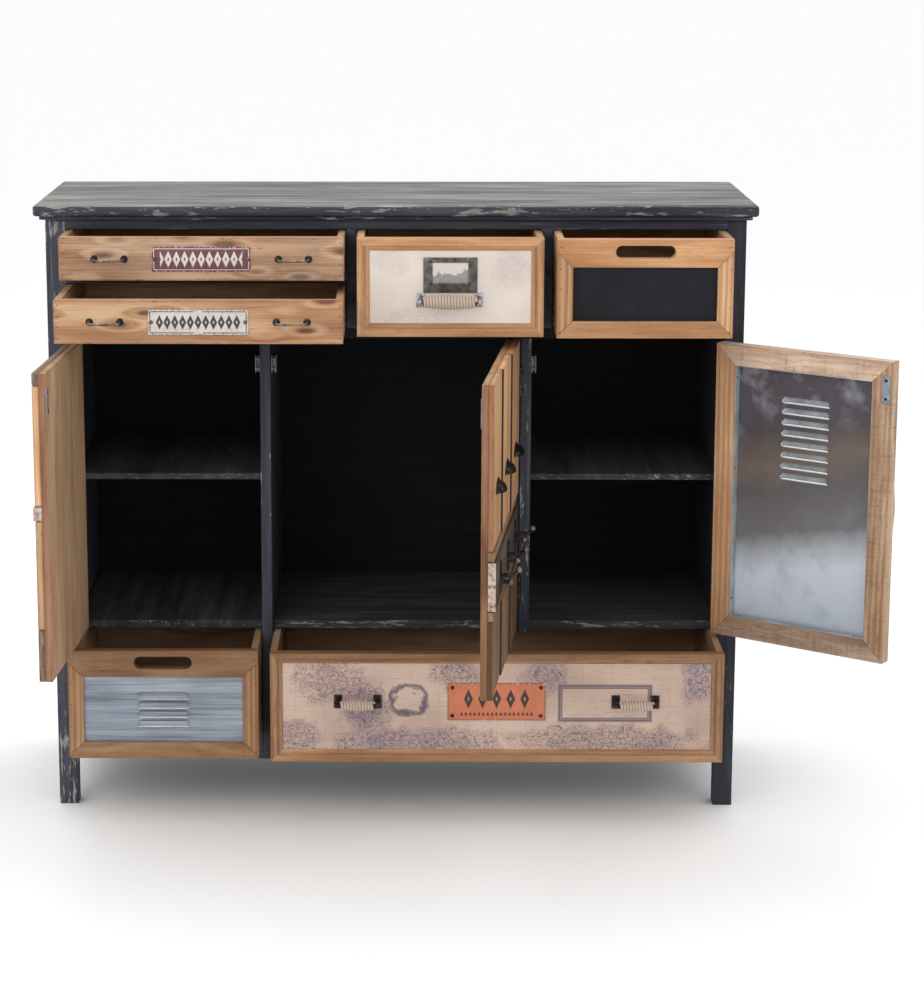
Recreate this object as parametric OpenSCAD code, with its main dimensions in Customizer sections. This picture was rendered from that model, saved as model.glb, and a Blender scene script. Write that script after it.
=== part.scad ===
// Patchwork sideboard: a dark painted carcass with six pine drawers and three hung doors.
// Front faces -Y, +Z is up, and the origin is on the floor under the middle of the carcass.
// Doors and drawers are drawn ajar; a door angle or a drawer pull of 0 is closed.

/* [Carcass] */
// Overall height to the top surface
overall_h = 1042; // [900:1:1200]
// Width across the outer faces of the posts
carcass_w = 1163; // [1000:1:1400]
// Depth across the outer faces of the posts
carcass_d = 370; // [320:1:460]
// Square section of the four corner posts
post = 32; // [28:1:45]
// Clear height under the bottom rails
leg_h = 82; // [60:1:140]
// Thickness of decks and dividers
board_t = 17.5; // [14:0.5:22]
// Thickness of the side panels
panel_t = 12; // [6:1:16]
// Thickness of the plywood back
back_t = 6; // [4:1:9]
// Inset of the back panel from the rear faces of the posts
back_inset = 2; // [1:1:4]

/* [Top] */
// Thickness of the top board
slab_t = 19; // [16:1:30]
// Height of the small moulding under the top board
moulding_t = 6; // [4:1:12]
// How far the moulding stands out from the posts
moulding_out = 9; // [6:1:12]
// Overhang of the top board at the front
over_front = 16; // [12:1:30]
// Overhang of the top board at each end
over_side = 18.5; // [12:0.5:30]
// Overhang of the top board at the back
over_back = 2; // [0:1:6]

/* [Rails] */
// Height of the rails directly under the top
top_rail_h = 16; // [12:1:30]
// Height of the rail between the two small drawers
split_rail_h = 16; // [12:1:24]
// Height of the bottom rails
bottom_rail_h = 35; // [28:1:50]
// Thickness of front and back rails, front to back
rail_t = 19; // [16:1:24]
// Height of the outer side rails
side_rail_h = 60; // [40:1:90]

/* [Bays] */
// Clear height of the top drawer row
row_h = 166; // [150:1:200]
// Clear height of the bottom drawer row
bottom_row_h = 192; // [170:1:230]
// Thickness of the floor of the door bays
floor_t = 14; // [12:1:20]
// Distance from the middle to the centre of each lower divider
lower_div_x = 219; // [200:1:250]
// Centre of the divider right of the two small drawers
top_div_a = -73; // [-110:1:-40]
// Centre of the divider left of the slate drawer
top_div_b = 252; // [220:1:290]
// Height of the shelf tops above the bay floor
shelf_up = 257; // [180:1:320]
// Thickness of the shelves
shelf_t = 10.5; // [9:0.5:16]
// Setback of the shelves from the front
shelf_setback = 30; // [28:1:60]

/* [Drawers] */
// Gap round a closed drawer front, above and below
front_gap_z = 2; // [1.5:0.5:3]
// Gap round a closed drawer front, left and right
front_gap_x = 1.5; // [1:0.25:2.5]
// Thickness of the drawer fronts
front_t = 18; // [15:1:22]
// Thickness of the drawer sides and backs
box_t = 12; // [9:1:15]
// Thickness of the drawer bottoms
bottom_t = 5; // [4:1:8]
// Depth of a drawer from the face of its front to its back
drawer_len = 335; // [260:1:340]
// Pulled-out distance of the upper small drawer
pull_upper = 95; // [0:1:200]
// Pulled-out distance of the lower small drawer
pull_lower = 175; // [0:1:200]
// Pulled-out distance of the map drawer
pull_map = 102; // [0:1:200]
// Pulled-out distance of the slate drawer
pull_slate = 115; // [0:1:200]
// Pulled-out distance of the zinc drawer
pull_zinc = 110; // [0:1:200]
// Pulled-out distance of the wide drawer
pull_wide = 125; // [0:1:200]

/* [Doors] */
// Gap round a closed door
door_gap = 1.5; // [1:0.25:2.5]
// How far a door laps down over the edge of the bay floor
door_lap = 6; // [3:1:10]
// Thickness of the inner layer of the doors
door_base_t = 11; // [9:1:14]
// Thickness of the outer planks of the doors
plank_t = 11; // [8:1:14]
// Angle of the left door from closed
open_left = 93.5; // [0:0.5:150]
// Angle of the middle door from closed
open_middle = 83; // [0:0.5:100]
// Angle of the right door from closed
open_right = 144; // [0:0.5:150]
// Width of the right door's frame pieces
door_frame_w = 35; // [28:1:45]

/* [Hinges] */
// Height of each butt hinge
hinge_h = 50; // [40:1:70]
// Outer radius of the knuckles
knuckle_r = 3.5; // [3:0.25:4]
// Radius of the hinge pins
pin_r = 1.9; // [1.5:0.1:2.2]
// Radial running clearance of the pins in the moving knuckles
pin_clear = 0.05; // [0.02:0.01:0.1]
// Distance of a pin's centre in front of the carcass face
pin_out = 4; // [4:0.25:6]
// Thickness of the hinge leaves
leaf_t = 1; // [0.8:0.1:1.2]
// Depth of the hinge leaves into the opening
leaf_d = 18; // [14:1:20]
// Distance of a hinge's centre from the door's end
hinge_in = 70; // [50:1:110]

/* [Fittings] */
// Length of the wire pulls between the screws
wire_pull_l = 49; // [40:1:70]
// Distance of the wire pulls from the middle of a small drawer
wire_pull_x = 150; // [120:1:170]
// Reach of the wire pulls
wire_pull_out = 24; // [20:1:30]
// Radius of the pull wire
wire_r = 1.9; // [1.5:0.1:2.5]
// Radius of the round feet of the wire pulls
rosette_r = 6.2; // [5:0.1:8]
// Reach of the rope grips, face to grip centre
grip_out = 24; // [22:1:30]
// Width of the nameplates on the small drawers
nameplate_w = 161; // [140:1:180]
// Height of the nameplates on the small drawers
nameplate_h = 41; // [34:1:50]
// Thickness of the tin plates
tin_t = 1.2; // [1:0.1:2]

/* [Hidden] */
$fn = 48;

paint = "#2f3440";
top_paint = "#5f6664";
pine = "#c59a6b";
aged_wood = "#8d7b68";
zinc = "#9aa3ab";
iron = "#2a2826";
rope = "#c9b593";
paper = "#d8cbb8";

// Planes of the carcass
front = -carcass_d / 2;
back = carcass_d / 2;
half_w = carcass_w / 2;
inner = half_w - post;                    // inner faces of posts and side panels
back_face = back - back_inset - back_t;   // front face of the back panel
top_z = overall_h - slab_t - moulding_t;  // upper ends of the posts
row_top = top_z - top_rail_h;
row_bottom = row_top - row_h;
deck_z = row_bottom - board_t;            // underside of the upper deck
split_z = row_bottom + (row_h - split_rail_h) / 2;
bottom_open = leg_h + bottom_rail_h;
floor_z = bottom_open + bottom_row_h;     // underside of the bay floor
floor_top = floor_z + floor_t;
door_t = door_base_t + plank_t;
rail_back = front + rail_t;
floor_front = front + door_t + 1.5;       // the bay floor stands back behind the doors' lower edges
low_div = [lower_div_x - board_t / 2, lower_div_x + board_t / 2];
div_a = [top_div_a - board_t / 2, top_div_a + board_t / 2];
div_b = [top_div_b - board_t / 2, top_div_b + board_t / 2];

// Heights and widths of the doors
door_z = [floor_top - door_lap, deck_z - front_gap_z];
door_h = door_z[1] - door_z[0];
side_door_w = inner - low_div[1] - 2 * door_gap;
middle_door_w = 2 * low_div[0] - 2 * door_gap;
base_y = pin_out + plank_t;               // from the pin's plane to the doors' inner layer
inner_y = pin_out + door_t;               // from the pin's plane to the doors' inner face
pin_y = front - pin_out;
side_pin = inner - door_gap / 2;
middle_pin = low_div[0] - door_gap / 2;
hinge_z = [door_z[0] + hinge_in, door_z[1] - hinge_in];
knuckle_h = hinge_h / 3;
knuckle_gap = 0.3;

// Door fittings
strike_h = 46;
strike_w = 14;
strike_t = 1.5;
strike_in = 3;
catch_w = 9;
catch_d = 38;
catch_h = 30;
catch_z = door_z[1] - 46;
board_groove = 2;
seam = 1;                                 // gap between neighbouring planks

// Rows of the left door's patchwork, from the top down
left_rows = [0.042, 0.386, 0.048, 0.354, 0.17];
// Bands of the middle door, from the top down: planks, strip, hook board, strip, planks
middle_bands = [0.524, 0.034, 0.158, 0.033, 0.251];
hook_board_extra = 2;
hook_x = [0.17, 0.5, 0.83];

// Drawer boxes stand a little above the lower edge of their fronts
box_up = 3;
bottom_up = 8;
back_drop = 8;
slide_gap = 0.3;
runner_w = 14;
slot_w = 97;
slot_h = 21;
slot_down = 21;                           // from the top of the front to the slot's centre
slot_frame = [26, 46, 28];                // side, top and bottom widths of the slotted frames
map_frame = [21, 21, 22];
wide_frame = [21, 18, 21];
sheet_set = 5;                            // how far a framed sheet lies behind the face
sheet_t = 1;
card_t = 4;
bevel_w = 8;
bevel_d = 4;

module block(x, y, z) translate([x[0], y[0], z[0]]) cube([x[1] - x[0], y[1] - y[0], z[1] - z[0]]);
function about(c, w) = [c - w / 2, c + w / 2];
module both_sides() { children(); mirror([1, 0, 0]) children(); }
module inset_block(x, y, z, by) block([x[0] + by, x[1] - by], [y[0] + by, y[1] - by], z);
module along_x(l, r) rotate([0, 90, 0]) cylinder(h = l, r = r);

// ---------- carcass ----------
module top_board() color(top_paint) {
    x = [-half_w - over_side, half_w + over_side];
    y = [front - over_front, back + over_back];
    z0 = overall_h - slab_t;
    hull() {
        inset_block(x, y, [z0, z0 + 1], 3);
        block(x, y, [z0 + 6, overall_h - 6]);
        inset_block(x, y, [overall_h - 1, overall_h], 4);
    }
}
module top_moulding() color(paint)
    block([-half_w - moulding_out, half_w + moulding_out], [front - moulding_out, back],
        [top_z, overall_h - slab_t]);

module front_posts() color(paint) difference() {
    both_sides() block([inner, half_w], [front, front + post], [0, top_z]);
    both_sides() for (z = hinge_z) leaf_mortise(side_pin, z);
}
module back_posts() color(paint) both_sides() block([inner, half_w], [back - post, back], [0, top_z]);
module side_panels() color(paint) both_sides()
    block([inner, inner + panel_t], [front + post, back - post], [leg_h, top_z]);
module side_rails() color(paint) both_sides() for (z = [leg_h, top_z - side_rail_h])
    block([inner + panel_t, half_w], [front + post, back - post], [z, z + side_rail_h]);
module back_panel() color(paint) block([-inner, inner], [back_face, back_face + back_t], [leg_h, top_z]);
module top_rails() color(paint) {
    block([-inner, inner], [front, front + rail_t], [row_top, top_z]);
    block([-inner, inner], [back_face - rail_t, back_face], [row_top, top_z]);
}
module split_rail() color(paint)
    block([-inner, div_a[0]], [front, front + post], [split_z, split_z + split_rail_h]);
module upper_deck() color(paint) block([-inner, inner], [front, back_face], [deck_z, row_bottom]);
module top_dividers() color(paint) for (x = [div_a, div_b]) {
    block(x, [front, back_face], [row_bottom, row_top]);
    block(x, [front + rail_t, back_face - rail_t], [row_top, top_z]);
}
module left_divider() color(paint)
    block([-low_div[1], -low_div[0]], [front, back_face], [leg_h, deck_z]);
module right_divider() color(paint) difference() {
    union() {
        block(low_div, [front, back_face], [floor_top, deck_z]);
        block(low_div, [front, floor_front], [floor_z, floor_top]);
    }
    for (z = hinge_z) leaf_mortise(middle_pin, z);
}
module bay_floors() color(paint) for (x = [[-inner, -low_div[1]], [-low_div[0], inner]])
    block(x, [floor_front, back_face], [floor_z, floor_top]);
module bottom_rails() color(paint) {
    for (x = [[-inner, -low_div[1]], [-low_div[0], inner]]) {
        block(x, [front, rail_back], [leg_h, bottom_open]);
        block(x, [back_face - rail_t, back_face], [leg_h, bottom_open]);
    }
}
module base_panels() color(paint) for (x = [[-inner, -low_div[1]], [-low_div[0], inner]])
    block(x, [rail_back, back_face - rail_t], [leg_h, leg_h + panel_t]);

shelf_play = 0.75;
shelf_z = floor_top + shelf_up - shelf_t;
module shelves() color(paint) both_sides()
    block([low_div[1] + shelf_play, inner - shelf_play], [front + shelf_setback, back_face],
        [shelf_z, shelf_z + shelf_t]);
pin_len = 10;
shelf_pin_r = 3;
module shelf_pins() color(iron) both_sides()
    for (x = [low_div[1], inner - pin_len], y = [front + shelf_setback + 30, back_face - 40])
        translate([x, y, shelf_z - shelf_pin_r]) along_x(pin_len, shelf_pin_r);

// A pair of wooden runners under the sides of a drawer whose opening is x wide
module runner_pair(x, y, z0, opening_z) {
    z = [z0, opening_z + front_gap_z + box_up - slide_gap];
    block([x[0], x[0] + runner_w], y, z);
    block([x[1] - runner_w, x[1]], y, z);
}
module drawer_runners() color(pine) {
    behind = [rail_back + 3, back_face];
    low = [rail_back, back_face - rail_t];
    runner_pair([-inner, div_a[0]], [front + post, back_face], split_z, split_z + split_rail_h);
    for (x = [[-inner, div_a[0]], [div_a[1], div_b[0]], [div_b[1], inner]])
        runner_pair(x, behind, row_bottom, row_bottom);
    for (x = [[-inner, -low_div[1]], [-low_div[0], inner]])
        runner_pair(x, low, leg_h + panel_t, bottom_open);
}
module door_catches() color(iron) {
    y = [front + door_t + strike_t + 1, front + door_t + strike_t + 1 + catch_d];
    z = [catch_z - catch_h / 2, catch_z + catch_h / 2];
    block([-low_div[1] - catch_w, -low_div[1]], y, z);
    block([-low_div[0], -low_div[0] + catch_w], y, z);
    block([low_div[1], low_div[1] + catch_w], y, z);
}

// ---------- hinges ----------
// The fixed leaf of a hinge, let half its thickness into the post or divider
module leaf_plate(x, z) block(about(x + door_gap / 2, leaf_t), [front + knuckle_gap, front + leaf_d], about(z, hinge_h));
module leaf_mortise(x, z) block(about(x + door_gap / 2, leaf_t), [front - 1, front + leaf_d], about(z, hinge_h));
module fixed_leaf(x, z) translate([x, 0, z]) {
    for (s = [-1, 1]) {
        zs = s > 0 ? [knuckle_h / 2 + knuckle_gap, hinge_h / 2] : [-hinge_h / 2, -knuckle_h / 2 - knuckle_gap];
        translate([0, pin_y, zs[0]]) cylinder(h = zs[1] - zs[0], r = knuckle_r);
        block(about(door_gap / 2, leaf_t), [pin_y, front + 1], zs);
    }
    translate([0, pin_y, -hinge_h / 2]) cylinder(h = hinge_h, r = pin_r);
    leaf_plate(0, 0);
}
module post_hinge_leaves() color(iron) {
    both_sides() for (z = hinge_z) fixed_leaf(side_pin, z);
    for (z = hinge_z) fixed_leaf(middle_pin, z);
}

// ---------- doors, drawn from their pin along +X, outer face at pin_out ----------
module hang(pin_x, angle, right) translate([pin_x, pin_y, 0]) {
    if (right) mirror([1, 0, 0]) rotate([0, 0, -angle]) children();
    else rotate([0, 0, -angle]) children();
}
module left_hung() hang(-side_pin, open_left, false) children();
module middle_hung() hang(middle_pin, open_middle, true) children();
module right_hung() hang(side_pin, open_right, true) children();

module door_leaf_mortises() for (z = hinge_z)
    block(about(door_gap / 2, leaf_t), [pin_out - 1, pin_out + leaf_d], about(z, hinge_h));
module base_boards(w) difference() {
    block([door_gap / 2, door_gap / 2 + w], [base_y, inner_y], door_z);
    for (i = [1, 2]) block(about(door_gap / 2 + i * w / 3, board_groove),
        [inner_y - board_groove, inner_y + 1], [door_z[0] - 1, door_z[1] + 1]);
    door_leaf_mortises();
}
// Hinge leaves with their moving knuckles, and the strike plate by the free edge
module door_fittings(w) {
    for (z = hinge_z) {
        difference() {
            union() {
                translate([0, 0, z - knuckle_h / 2]) cylinder(h = knuckle_h, r = knuckle_r);
                block(about(door_gap / 2, leaf_t), [0, pin_out + knuckle_gap + 1], about(z, knuckle_h));
            }
            translate([0, 0, z - knuckle_h]) cylinder(h = 2 * knuckle_h, r = pin_r + pin_clear);
        }
        block(about(door_gap / 2, leaf_t), [pin_out + knuckle_gap, pin_out + leaf_d], about(z, hinge_h));
    }
    free = door_gap / 2 + w;
    block([free - strike_in - strike_w, free - strike_in], [inner_y, inner_y + strike_t],
        about(catch_z, strike_h));
}

// Sum of the first n shares, for stacking rows
function upto(shares, n) = n <= 0 ? 0 : shares[n - 1] + upto(shares, n - 1);
function band(shares, i) = [door_z[1] - door_h * upto(shares, i + 1) + (i == len(shares) - 1 ? 0 : seam),
    door_z[1] - door_h * upto(shares, i)];

module left_door_boards() color(pine) left_hung() base_boards(side_door_w);
proud = 3;
module left_door_planks() color(aged_wood) left_hung() difference() {
    for (i = [0:len(left_rows) - 1])
        block([door_gap / 2, door_gap / 2 + side_door_w - (i == 2 ? 0 : seam)],
            [pin_out - (i == 2 ? proud : 0), base_y], band(left_rows, i));
    door_leaf_mortises();
    // room for the knuckles of the upper hinge beside the proud strip
    block([-1, 12], [-20, pin_out], door_z);
}
left_pull_z = band(left_rows, 3)[1] - 45;
module left_door_pull() color(iron) left_hung()
    translate([(door_gap + side_door_w) / 2, pin_out, left_pull_z]) wire_pull();
module left_door_fittings() color(iron) left_hung() door_fittings(side_door_w);

module middle_door_boards() color(pine) middle_hung() base_boards(middle_door_w);
hinge_side_set = 2;                       // the thinner plank next to the hinges
module middle_door_planks() color(aged_wood) middle_hung() difference() {
    union() {
        w = middle_door_w / 3;
        for (i = [0, 4], k = [0:2])
            block([door_gap / 2 + k * w + (k > 0 ? seam : 0), door_gap / 2 + (k + 1) * w],
                [pin_out + (i == 0 && k == 0 ? hinge_side_set : 0), base_y], band(middle_bands, i));
        for (i = [1, 3]) block([door_gap / 2, door_gap / 2 + middle_door_w],
            [pin_out + 1, base_y], band(middle_bands, i));
        block([door_gap / 2 + 12, door_gap / 2 + middle_door_w],
            [pin_out - hook_board_extra, base_y], band(middle_bands, 2));
    }
    door_leaf_mortises();
}
cup_w = 58;
cup_out = 17;
cup_h = 22;
cup_wall = 2;
cup_z = door_z[1] - 0.335 * door_h;
// A bin pull: a hood closed at both ends and open below, on a thin flange
module hood(l, reach, rise) rotate([90, 0, 90]) linear_extrude(l)
    polygon([[0, 0], for (a = [0:15:90]) [-reach * cos(a), rise * sin(a)]]);
module cup_pull() {
    difference() {
        translate([-cup_w / 2, 0, 0]) hood(cup_w, cup_out, cup_h);
        translate([-cup_w / 2 + cup_wall, cup_wall / 2, -1])
            hood(cup_w - 2 * cup_wall, cup_out - cup_wall / 2, cup_h - cup_wall + 1);
    }
    difference() {
        block(about(0, cup_w + 8), [-cup_wall, 0], [0, cup_h + 4]);
        block(about(0, cup_w - 2 * cup_wall), [-2 * cup_wall, 1], [-1, cup_h - cup_wall - 2]);
    }
}
module middle_door_cup_pulls() color(iron) middle_hung() for (k = [0:2])
    translate([door_gap / 2 + (k + 0.5) * middle_door_w / 3, pin_out + (k == 0 ? hinge_side_set : 0),
        cup_z - cup_h / 2]) cup_pull();
hook_z = (band(middle_bands, 2)[0] + band(middle_bands, 2)[1]) / 2;
hook_plate = [14, 2, 50];
ball_r = 5.5;
// A double coat hook: a long arm above and a short one below, each with a ball at its end
module coat_hook() {
    translate([-hook_plate[0] / 2, -hook_plate[1], -hook_plate[2] / 2]) cube(hook_plate);
    translate([0, 0, 12]) rotate([90, 0, 0]) cylinder(h = 28, r = 3);
    translate([0, -30, 12]) sphere(r = ball_r);
    translate([0, 0, -10]) rotate([90, 0, 0]) cylinder(h = 14, r = 3);
    translate([0, -16, -10]) sphere(r = ball_r);
}
module middle_door_hooks() color(iron) middle_hung() for (s = hook_x)
    translate([door_gap / 2 + s * middle_door_w, pin_out - hook_board_extra, hook_z]) coat_hook();
module middle_door_fittings() color(iron) middle_hung() door_fittings(middle_door_w);

// A picture frame of four pieces round an opening; w and h are its outside size
module frame_ring(w, h, sides, y) difference() {
    block([0, w], y, [0, h]);
    block([sides[0], w - sides[0]], [y[0] - 1, y[1] + 1], [sides[2], h - sides[1]]);
}
// Pressed louvres, each a low hood over its slot, stacked downwards from the centre line
louvre_l = 86;
louvre_h = 11;
louvre_out = 5;
module louvre_slots(n, pitch, l) for (i = [0:n - 1])
    block(about(0, l), [-5, 5], [0, 4] + [1, 1] * ((i - (n - 1) / 2) * pitch - louvre_h / 2));
module louvre_hoods(n, pitch, l) for (i = [0:n - 1])
    translate([-l / 2, 0, (i - (n - 1) / 2) * pitch - louvre_h / 2]) rotate([90, 0, 90])
        linear_extrude(l) polygon([[0, louvre_h], [-louvre_out, 1], [-louvre_out, 0],
            [-louvre_out + sheet_t, 0], [sheet_t, louvre_h]]);

right_w = side_door_w;
tray_set = 5;                             // the sheet's place behind the outer face
tray_lip = 2;                             // how far its folded edges stop short of the inner face
module right_door_frame() color(pine) right_hung() difference() {
    translate([door_gap / 2, 0, door_z[0]])
        frame_ring(right_w, door_h, [door_frame_w, door_frame_w, door_frame_w], [pin_out, inner_y]);
    door_leaf_mortises();
}
right_louvres = 8;
right_pitch = 18.3;
right_louvre_z = door_z[1] - 149;
// A louvred sheet whose four edges are folded in against the frame
module right_door_sheet() color(zinc) right_hung() {
    mid = door_gap / 2 + right_w / 2;
    x = [door_gap / 2 + door_frame_w, door_gap / 2 + right_w - door_frame_w];
    z = [door_z[0] + door_frame_w, door_z[1] - door_frame_w];
    y = [pin_out + tray_set, inner_y - tray_lip];
    difference() {
        block(x, y, z);
        block([x[0] + sheet_t, x[1] - sheet_t], [y[0] + sheet_t, y[1] + 1], [z[0] + sheet_t, z[1] - sheet_t]);
        translate([mid, y[0], right_louvre_z]) louvre_slots(right_louvres, right_pitch, louvre_l);
    }
    translate([mid, y[0], right_louvre_z]) louvre_hoods(right_louvres, right_pitch, louvre_l);
}
module right_door_pull() color(rope) right_hung()
    translate([door_gap / 2 + right_w - door_frame_w / 2, pin_out, (door_z[0] + door_z[1]) / 2])
        rotate([0, 90, 0]) { grip_brackets(78); rope_grip(78, 6, 8.5); }
module right_door_fittings() color(iron) right_hung() door_fittings(side_door_w);

// ---------- pulls, drawn on a face at y = 0 and standing out towards -Y ----------
bend_r = 6;
module wire_pull() {
    for (s = [-1, 1]) {
        translate([s * wire_pull_l / 2, 0, 0]) rotate([90, 0, 0]) cylinder(h = 4, r = rosette_r);
        translate([s * wire_pull_l / 2, 0, 0]) rotate([90, 0, 0])
            cylinder(h = wire_pull_out - bend_r, r = wire_r);
        translate([s * (wire_pull_l / 2 - bend_r), -wire_pull_out + bend_r, 0])
            rotate([0, 0, s > 0 ? 270 : 180]) rotate_extrude(angle = 90) translate([bend_r, 0]) circle(r = wire_r);
    }
    translate([-wire_pull_l / 2 + bend_r, -wire_pull_out, 0]) along_x(wire_pull_l - 2 * bend_r, wire_r);
}
bracket_w = 14;
bracket_h = 23;
arm_r = 3;
module grip_brackets(l) for (s = [-1, 1]) {
    translate([s * l / 2, 0, 0]) block([-bracket_w / 2, bracket_w / 2], [-2, 0], [-bracket_h / 2, bracket_h / 2]);
    translate([s * l / 2, 0, 0]) rotate([90, 0, 0]) cylinder(h = grip_out, r = arm_r);
    translate([s * l / 2, -grip_out, 0]) sphere(r = arm_r + 1.5);
}
// The cord-wound grip, thicker in the middle
module rope_grip(l, r_end, r_mid) {
    half = l / 2 - arm_r - 1.5;
    rise = r_mid - r_end;
    bow = (half * half + rise * rise) / (2 * rise);
    translate([0, -grip_out, 0]) rotate([0, 90, 0]) rotate_extrude() intersection() {
        translate([r_mid - bow, 0]) circle(r = bow, $fn = 180);
        translate([0, -half]) square([r_mid, 2 * half]);
    }
}

// ---------- drawers ----------
// Box behind a front: two sides, a back and a bottom let between them. x and z are the front's
module drawer_box(x, z) {
    y0 = front + front_t;
    y1 = front + drawer_len;
    zs = [z[0] + box_up, z[1]];
    for (s = [[x[0], x[0] + box_t], [x[1] - box_t, x[1]]]) block(s, [y0, y1], zs);
    block([x[0] + box_t, x[1] - box_t], [y1 - box_t, y1], [zs[0] + bottom_up + bottom_t, zs[1] - back_drop]);
    block([x[0] + box_t, x[1] - box_t], [y0, y1], [zs[0] + bottom_up, zs[0] + bottom_up + bottom_t]);
}
module pulled(d) translate([0, -d, 0]) children();
function front_x(x) = [x[0] + front_gap_x, x[1] - front_gap_x];
function front_z(z) = [z[0] + front_gap_z, z[1] - front_gap_z];
function mid(r) = (r[0] + r[1]) / 2;

small_x = front_x([-inner, div_a[0]]);
upper_z = front_z([split_z + split_rail_h, row_top]);
lower_z = front_z([row_bottom, split_z]);
map_x = front_x([div_a[1], div_b[0]]);
slate_x = front_x([div_b[1], inner]);
row_z = front_z([row_bottom, row_top]);
zinc_x = front_x([-inner, -low_div[1]]);
wide_x = front_x([-low_div[0], inner]);
low_z = front_z([bottom_open, floor_z]);

module small_front(z) block(small_x, [front, front + front_t], z);
module small_pulls(z) for (s = [-1, 1])
    translate([mid(small_x) + s * wire_pull_x, front, mid(z)]) wire_pull();
module nameplate(z) translate([mid(small_x), front, mid(z)]) {
    block([-nameplate_w / 2, nameplate_w / 2], [-tin_t, 0], [-nameplate_h / 2, nameplate_h / 2]);
    for (s = [-1, 1]) translate([s * (nameplate_w / 2 - 5), -tin_t, 0]) rotate([90, 0, 0])
        cylinder(h = 2, r = 3.5);
}
module upper_drawer_front() color(pine) pulled(pull_upper) small_front(upper_z);
module upper_drawer_box() color(pine) pulled(pull_upper) drawer_box(small_x, upper_z);
module upper_drawer_pulls() color(iron) pulled(pull_upper) small_pulls(upper_z);
module upper_drawer_nameplate() color("#6a3a42") pulled(pull_upper) nameplate(upper_z);
module lower_drawer_front() color(pine) pulled(pull_lower) small_front(lower_z);
module lower_drawer_box() color(pine) pulled(pull_lower) drawer_box(small_x, lower_z);
module lower_drawer_pulls() color(iron) pulled(pull_lower) small_pulls(lower_z);
module lower_drawer_nameplate() color("#e6e2da") pulled(pull_lower) nameplate(lower_z);

// A framed front: x and z are its outside, sides gives the widths of its pieces
module framed_front(x, z, sides) translate([x[0], 0, z[0]])
    frame_ring(x[1] - x[0], z[1] - z[0], sides, [front, front + front_t]);
// A sheet let into the frame, in the same places
module framed_sheet(x, z, sides, set, t)
    block([x[0] + sides[0], x[1] - sides[0]], [front + set, front + set + t], [z[0] + sides[2], z[1] - sides[1]]);
// The finger slot in a frame's top piece, with round ends
module finger_slot(x, z) translate([mid(x), front - 1, z[1] - slot_down]) {
    r = slot_h / 2;
    for (s = [-1, 1]) translate([s * (slot_w / 2 - r), 0, 0]) rotate([-90, 0, 0]) cylinder(h = front_t + 2, r = r);
    translate([-slot_w / 2 + r, 0, -r]) cube([slot_w - 2 * r, front_t + 2, slot_h]);
}
// Sloping inner edge of a moulded frame
module bevelled_front(x, z, sides) {
    difference() {
        framed_front(x, z, sides);
        ox = [x[0] + sides[0] - bevel_w, x[1] - sides[0] + bevel_w];
        oz = [z[0] + sides[2] - bevel_w, z[1] - sides[1] + bevel_w];
        hull() {
            block(ox, [front - 1, front], oz);
            block([ox[0] + bevel_w, ox[1] - bevel_w], [front, front + bevel_d], [oz[0] + bevel_w, oz[1] - bevel_w]);
        }
    }
}

module map_drawer_frame() color(pine) pulled(pull_map) bevelled_front(map_x, row_z, map_frame);
module map_drawer_panel() color(paper) pulled(pull_map) framed_sheet(map_x, row_z, map_frame, sheet_set, card_t);
module map_drawer_box() color(pine) pulled(pull_map) drawer_box(map_x, row_z);
holder = [88, 58];
holder_open = [58, 33];
module map_drawer_label_holder() color(iron) pulled(pull_map)
    translate([mid(map_x), front + sheet_set, mid(row_z) + 20]) {
        difference() {
            block([-1, 1] * holder[0] / 2, [-4, 0], [-1, 1] * holder[1] / 2);
            block([-1, 1] * holder_open[0] / 2, [-5, -1], [-1, 1] * holder_open[1] / 2 + [4, 4]);
        }
    }
map_grip = [mid(map_x) - 1, front + sheet_set, mid(row_z) - 21];
map_grip_l = 96;
module map_drawer_brackets() color(zinc) pulled(pull_map) translate(map_grip) grip_brackets(map_grip_l);
module map_drawer_grip() color(rope) pulled(pull_map) translate(map_grip) rope_grip(map_grip_l, 9, 12);

module slate_drawer_frame() color(pine) pulled(pull_slate) difference() {
    framed_front(slate_x, row_z, slot_frame);
    finger_slot(slate_x, row_z);
}
module slate_drawer_panel() color("#23262b") pulled(pull_slate)
    framed_sheet(slate_x, row_z, slot_frame, sheet_set, card_t);
module slate_drawer_box() color(pine) pulled(pull_slate) drawer_box(slate_x, row_z);

module zinc_drawer_frame() color(pine) pulled(pull_zinc) difference() {
    framed_front(zinc_x, low_z, slot_frame);
    finger_slot(zinc_x, low_z);
}
zinc_louvres = 4;
zinc_pitch = 16;
module zinc_drawer_sheet() color(zinc) pulled(pull_zinc) {
    z = mid([low_z[0] + slot_frame[2], low_z[1] - slot_frame[1]]);
    difference() {
        framed_sheet(zinc_x, low_z, slot_frame, sheet_set + 1, sheet_t);
        translate([mid(zinc_x), front + sheet_set + 1, z]) louvre_slots(zinc_louvres, zinc_pitch, louvre_l);
    }
    translate([mid(zinc_x), front + sheet_set + 1, z]) louvre_hoods(zinc_louvres, zinc_pitch, louvre_l);
}
module zinc_drawer_box() color(pine) pulled(pull_zinc) drawer_box(zinc_x, low_z);

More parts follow.
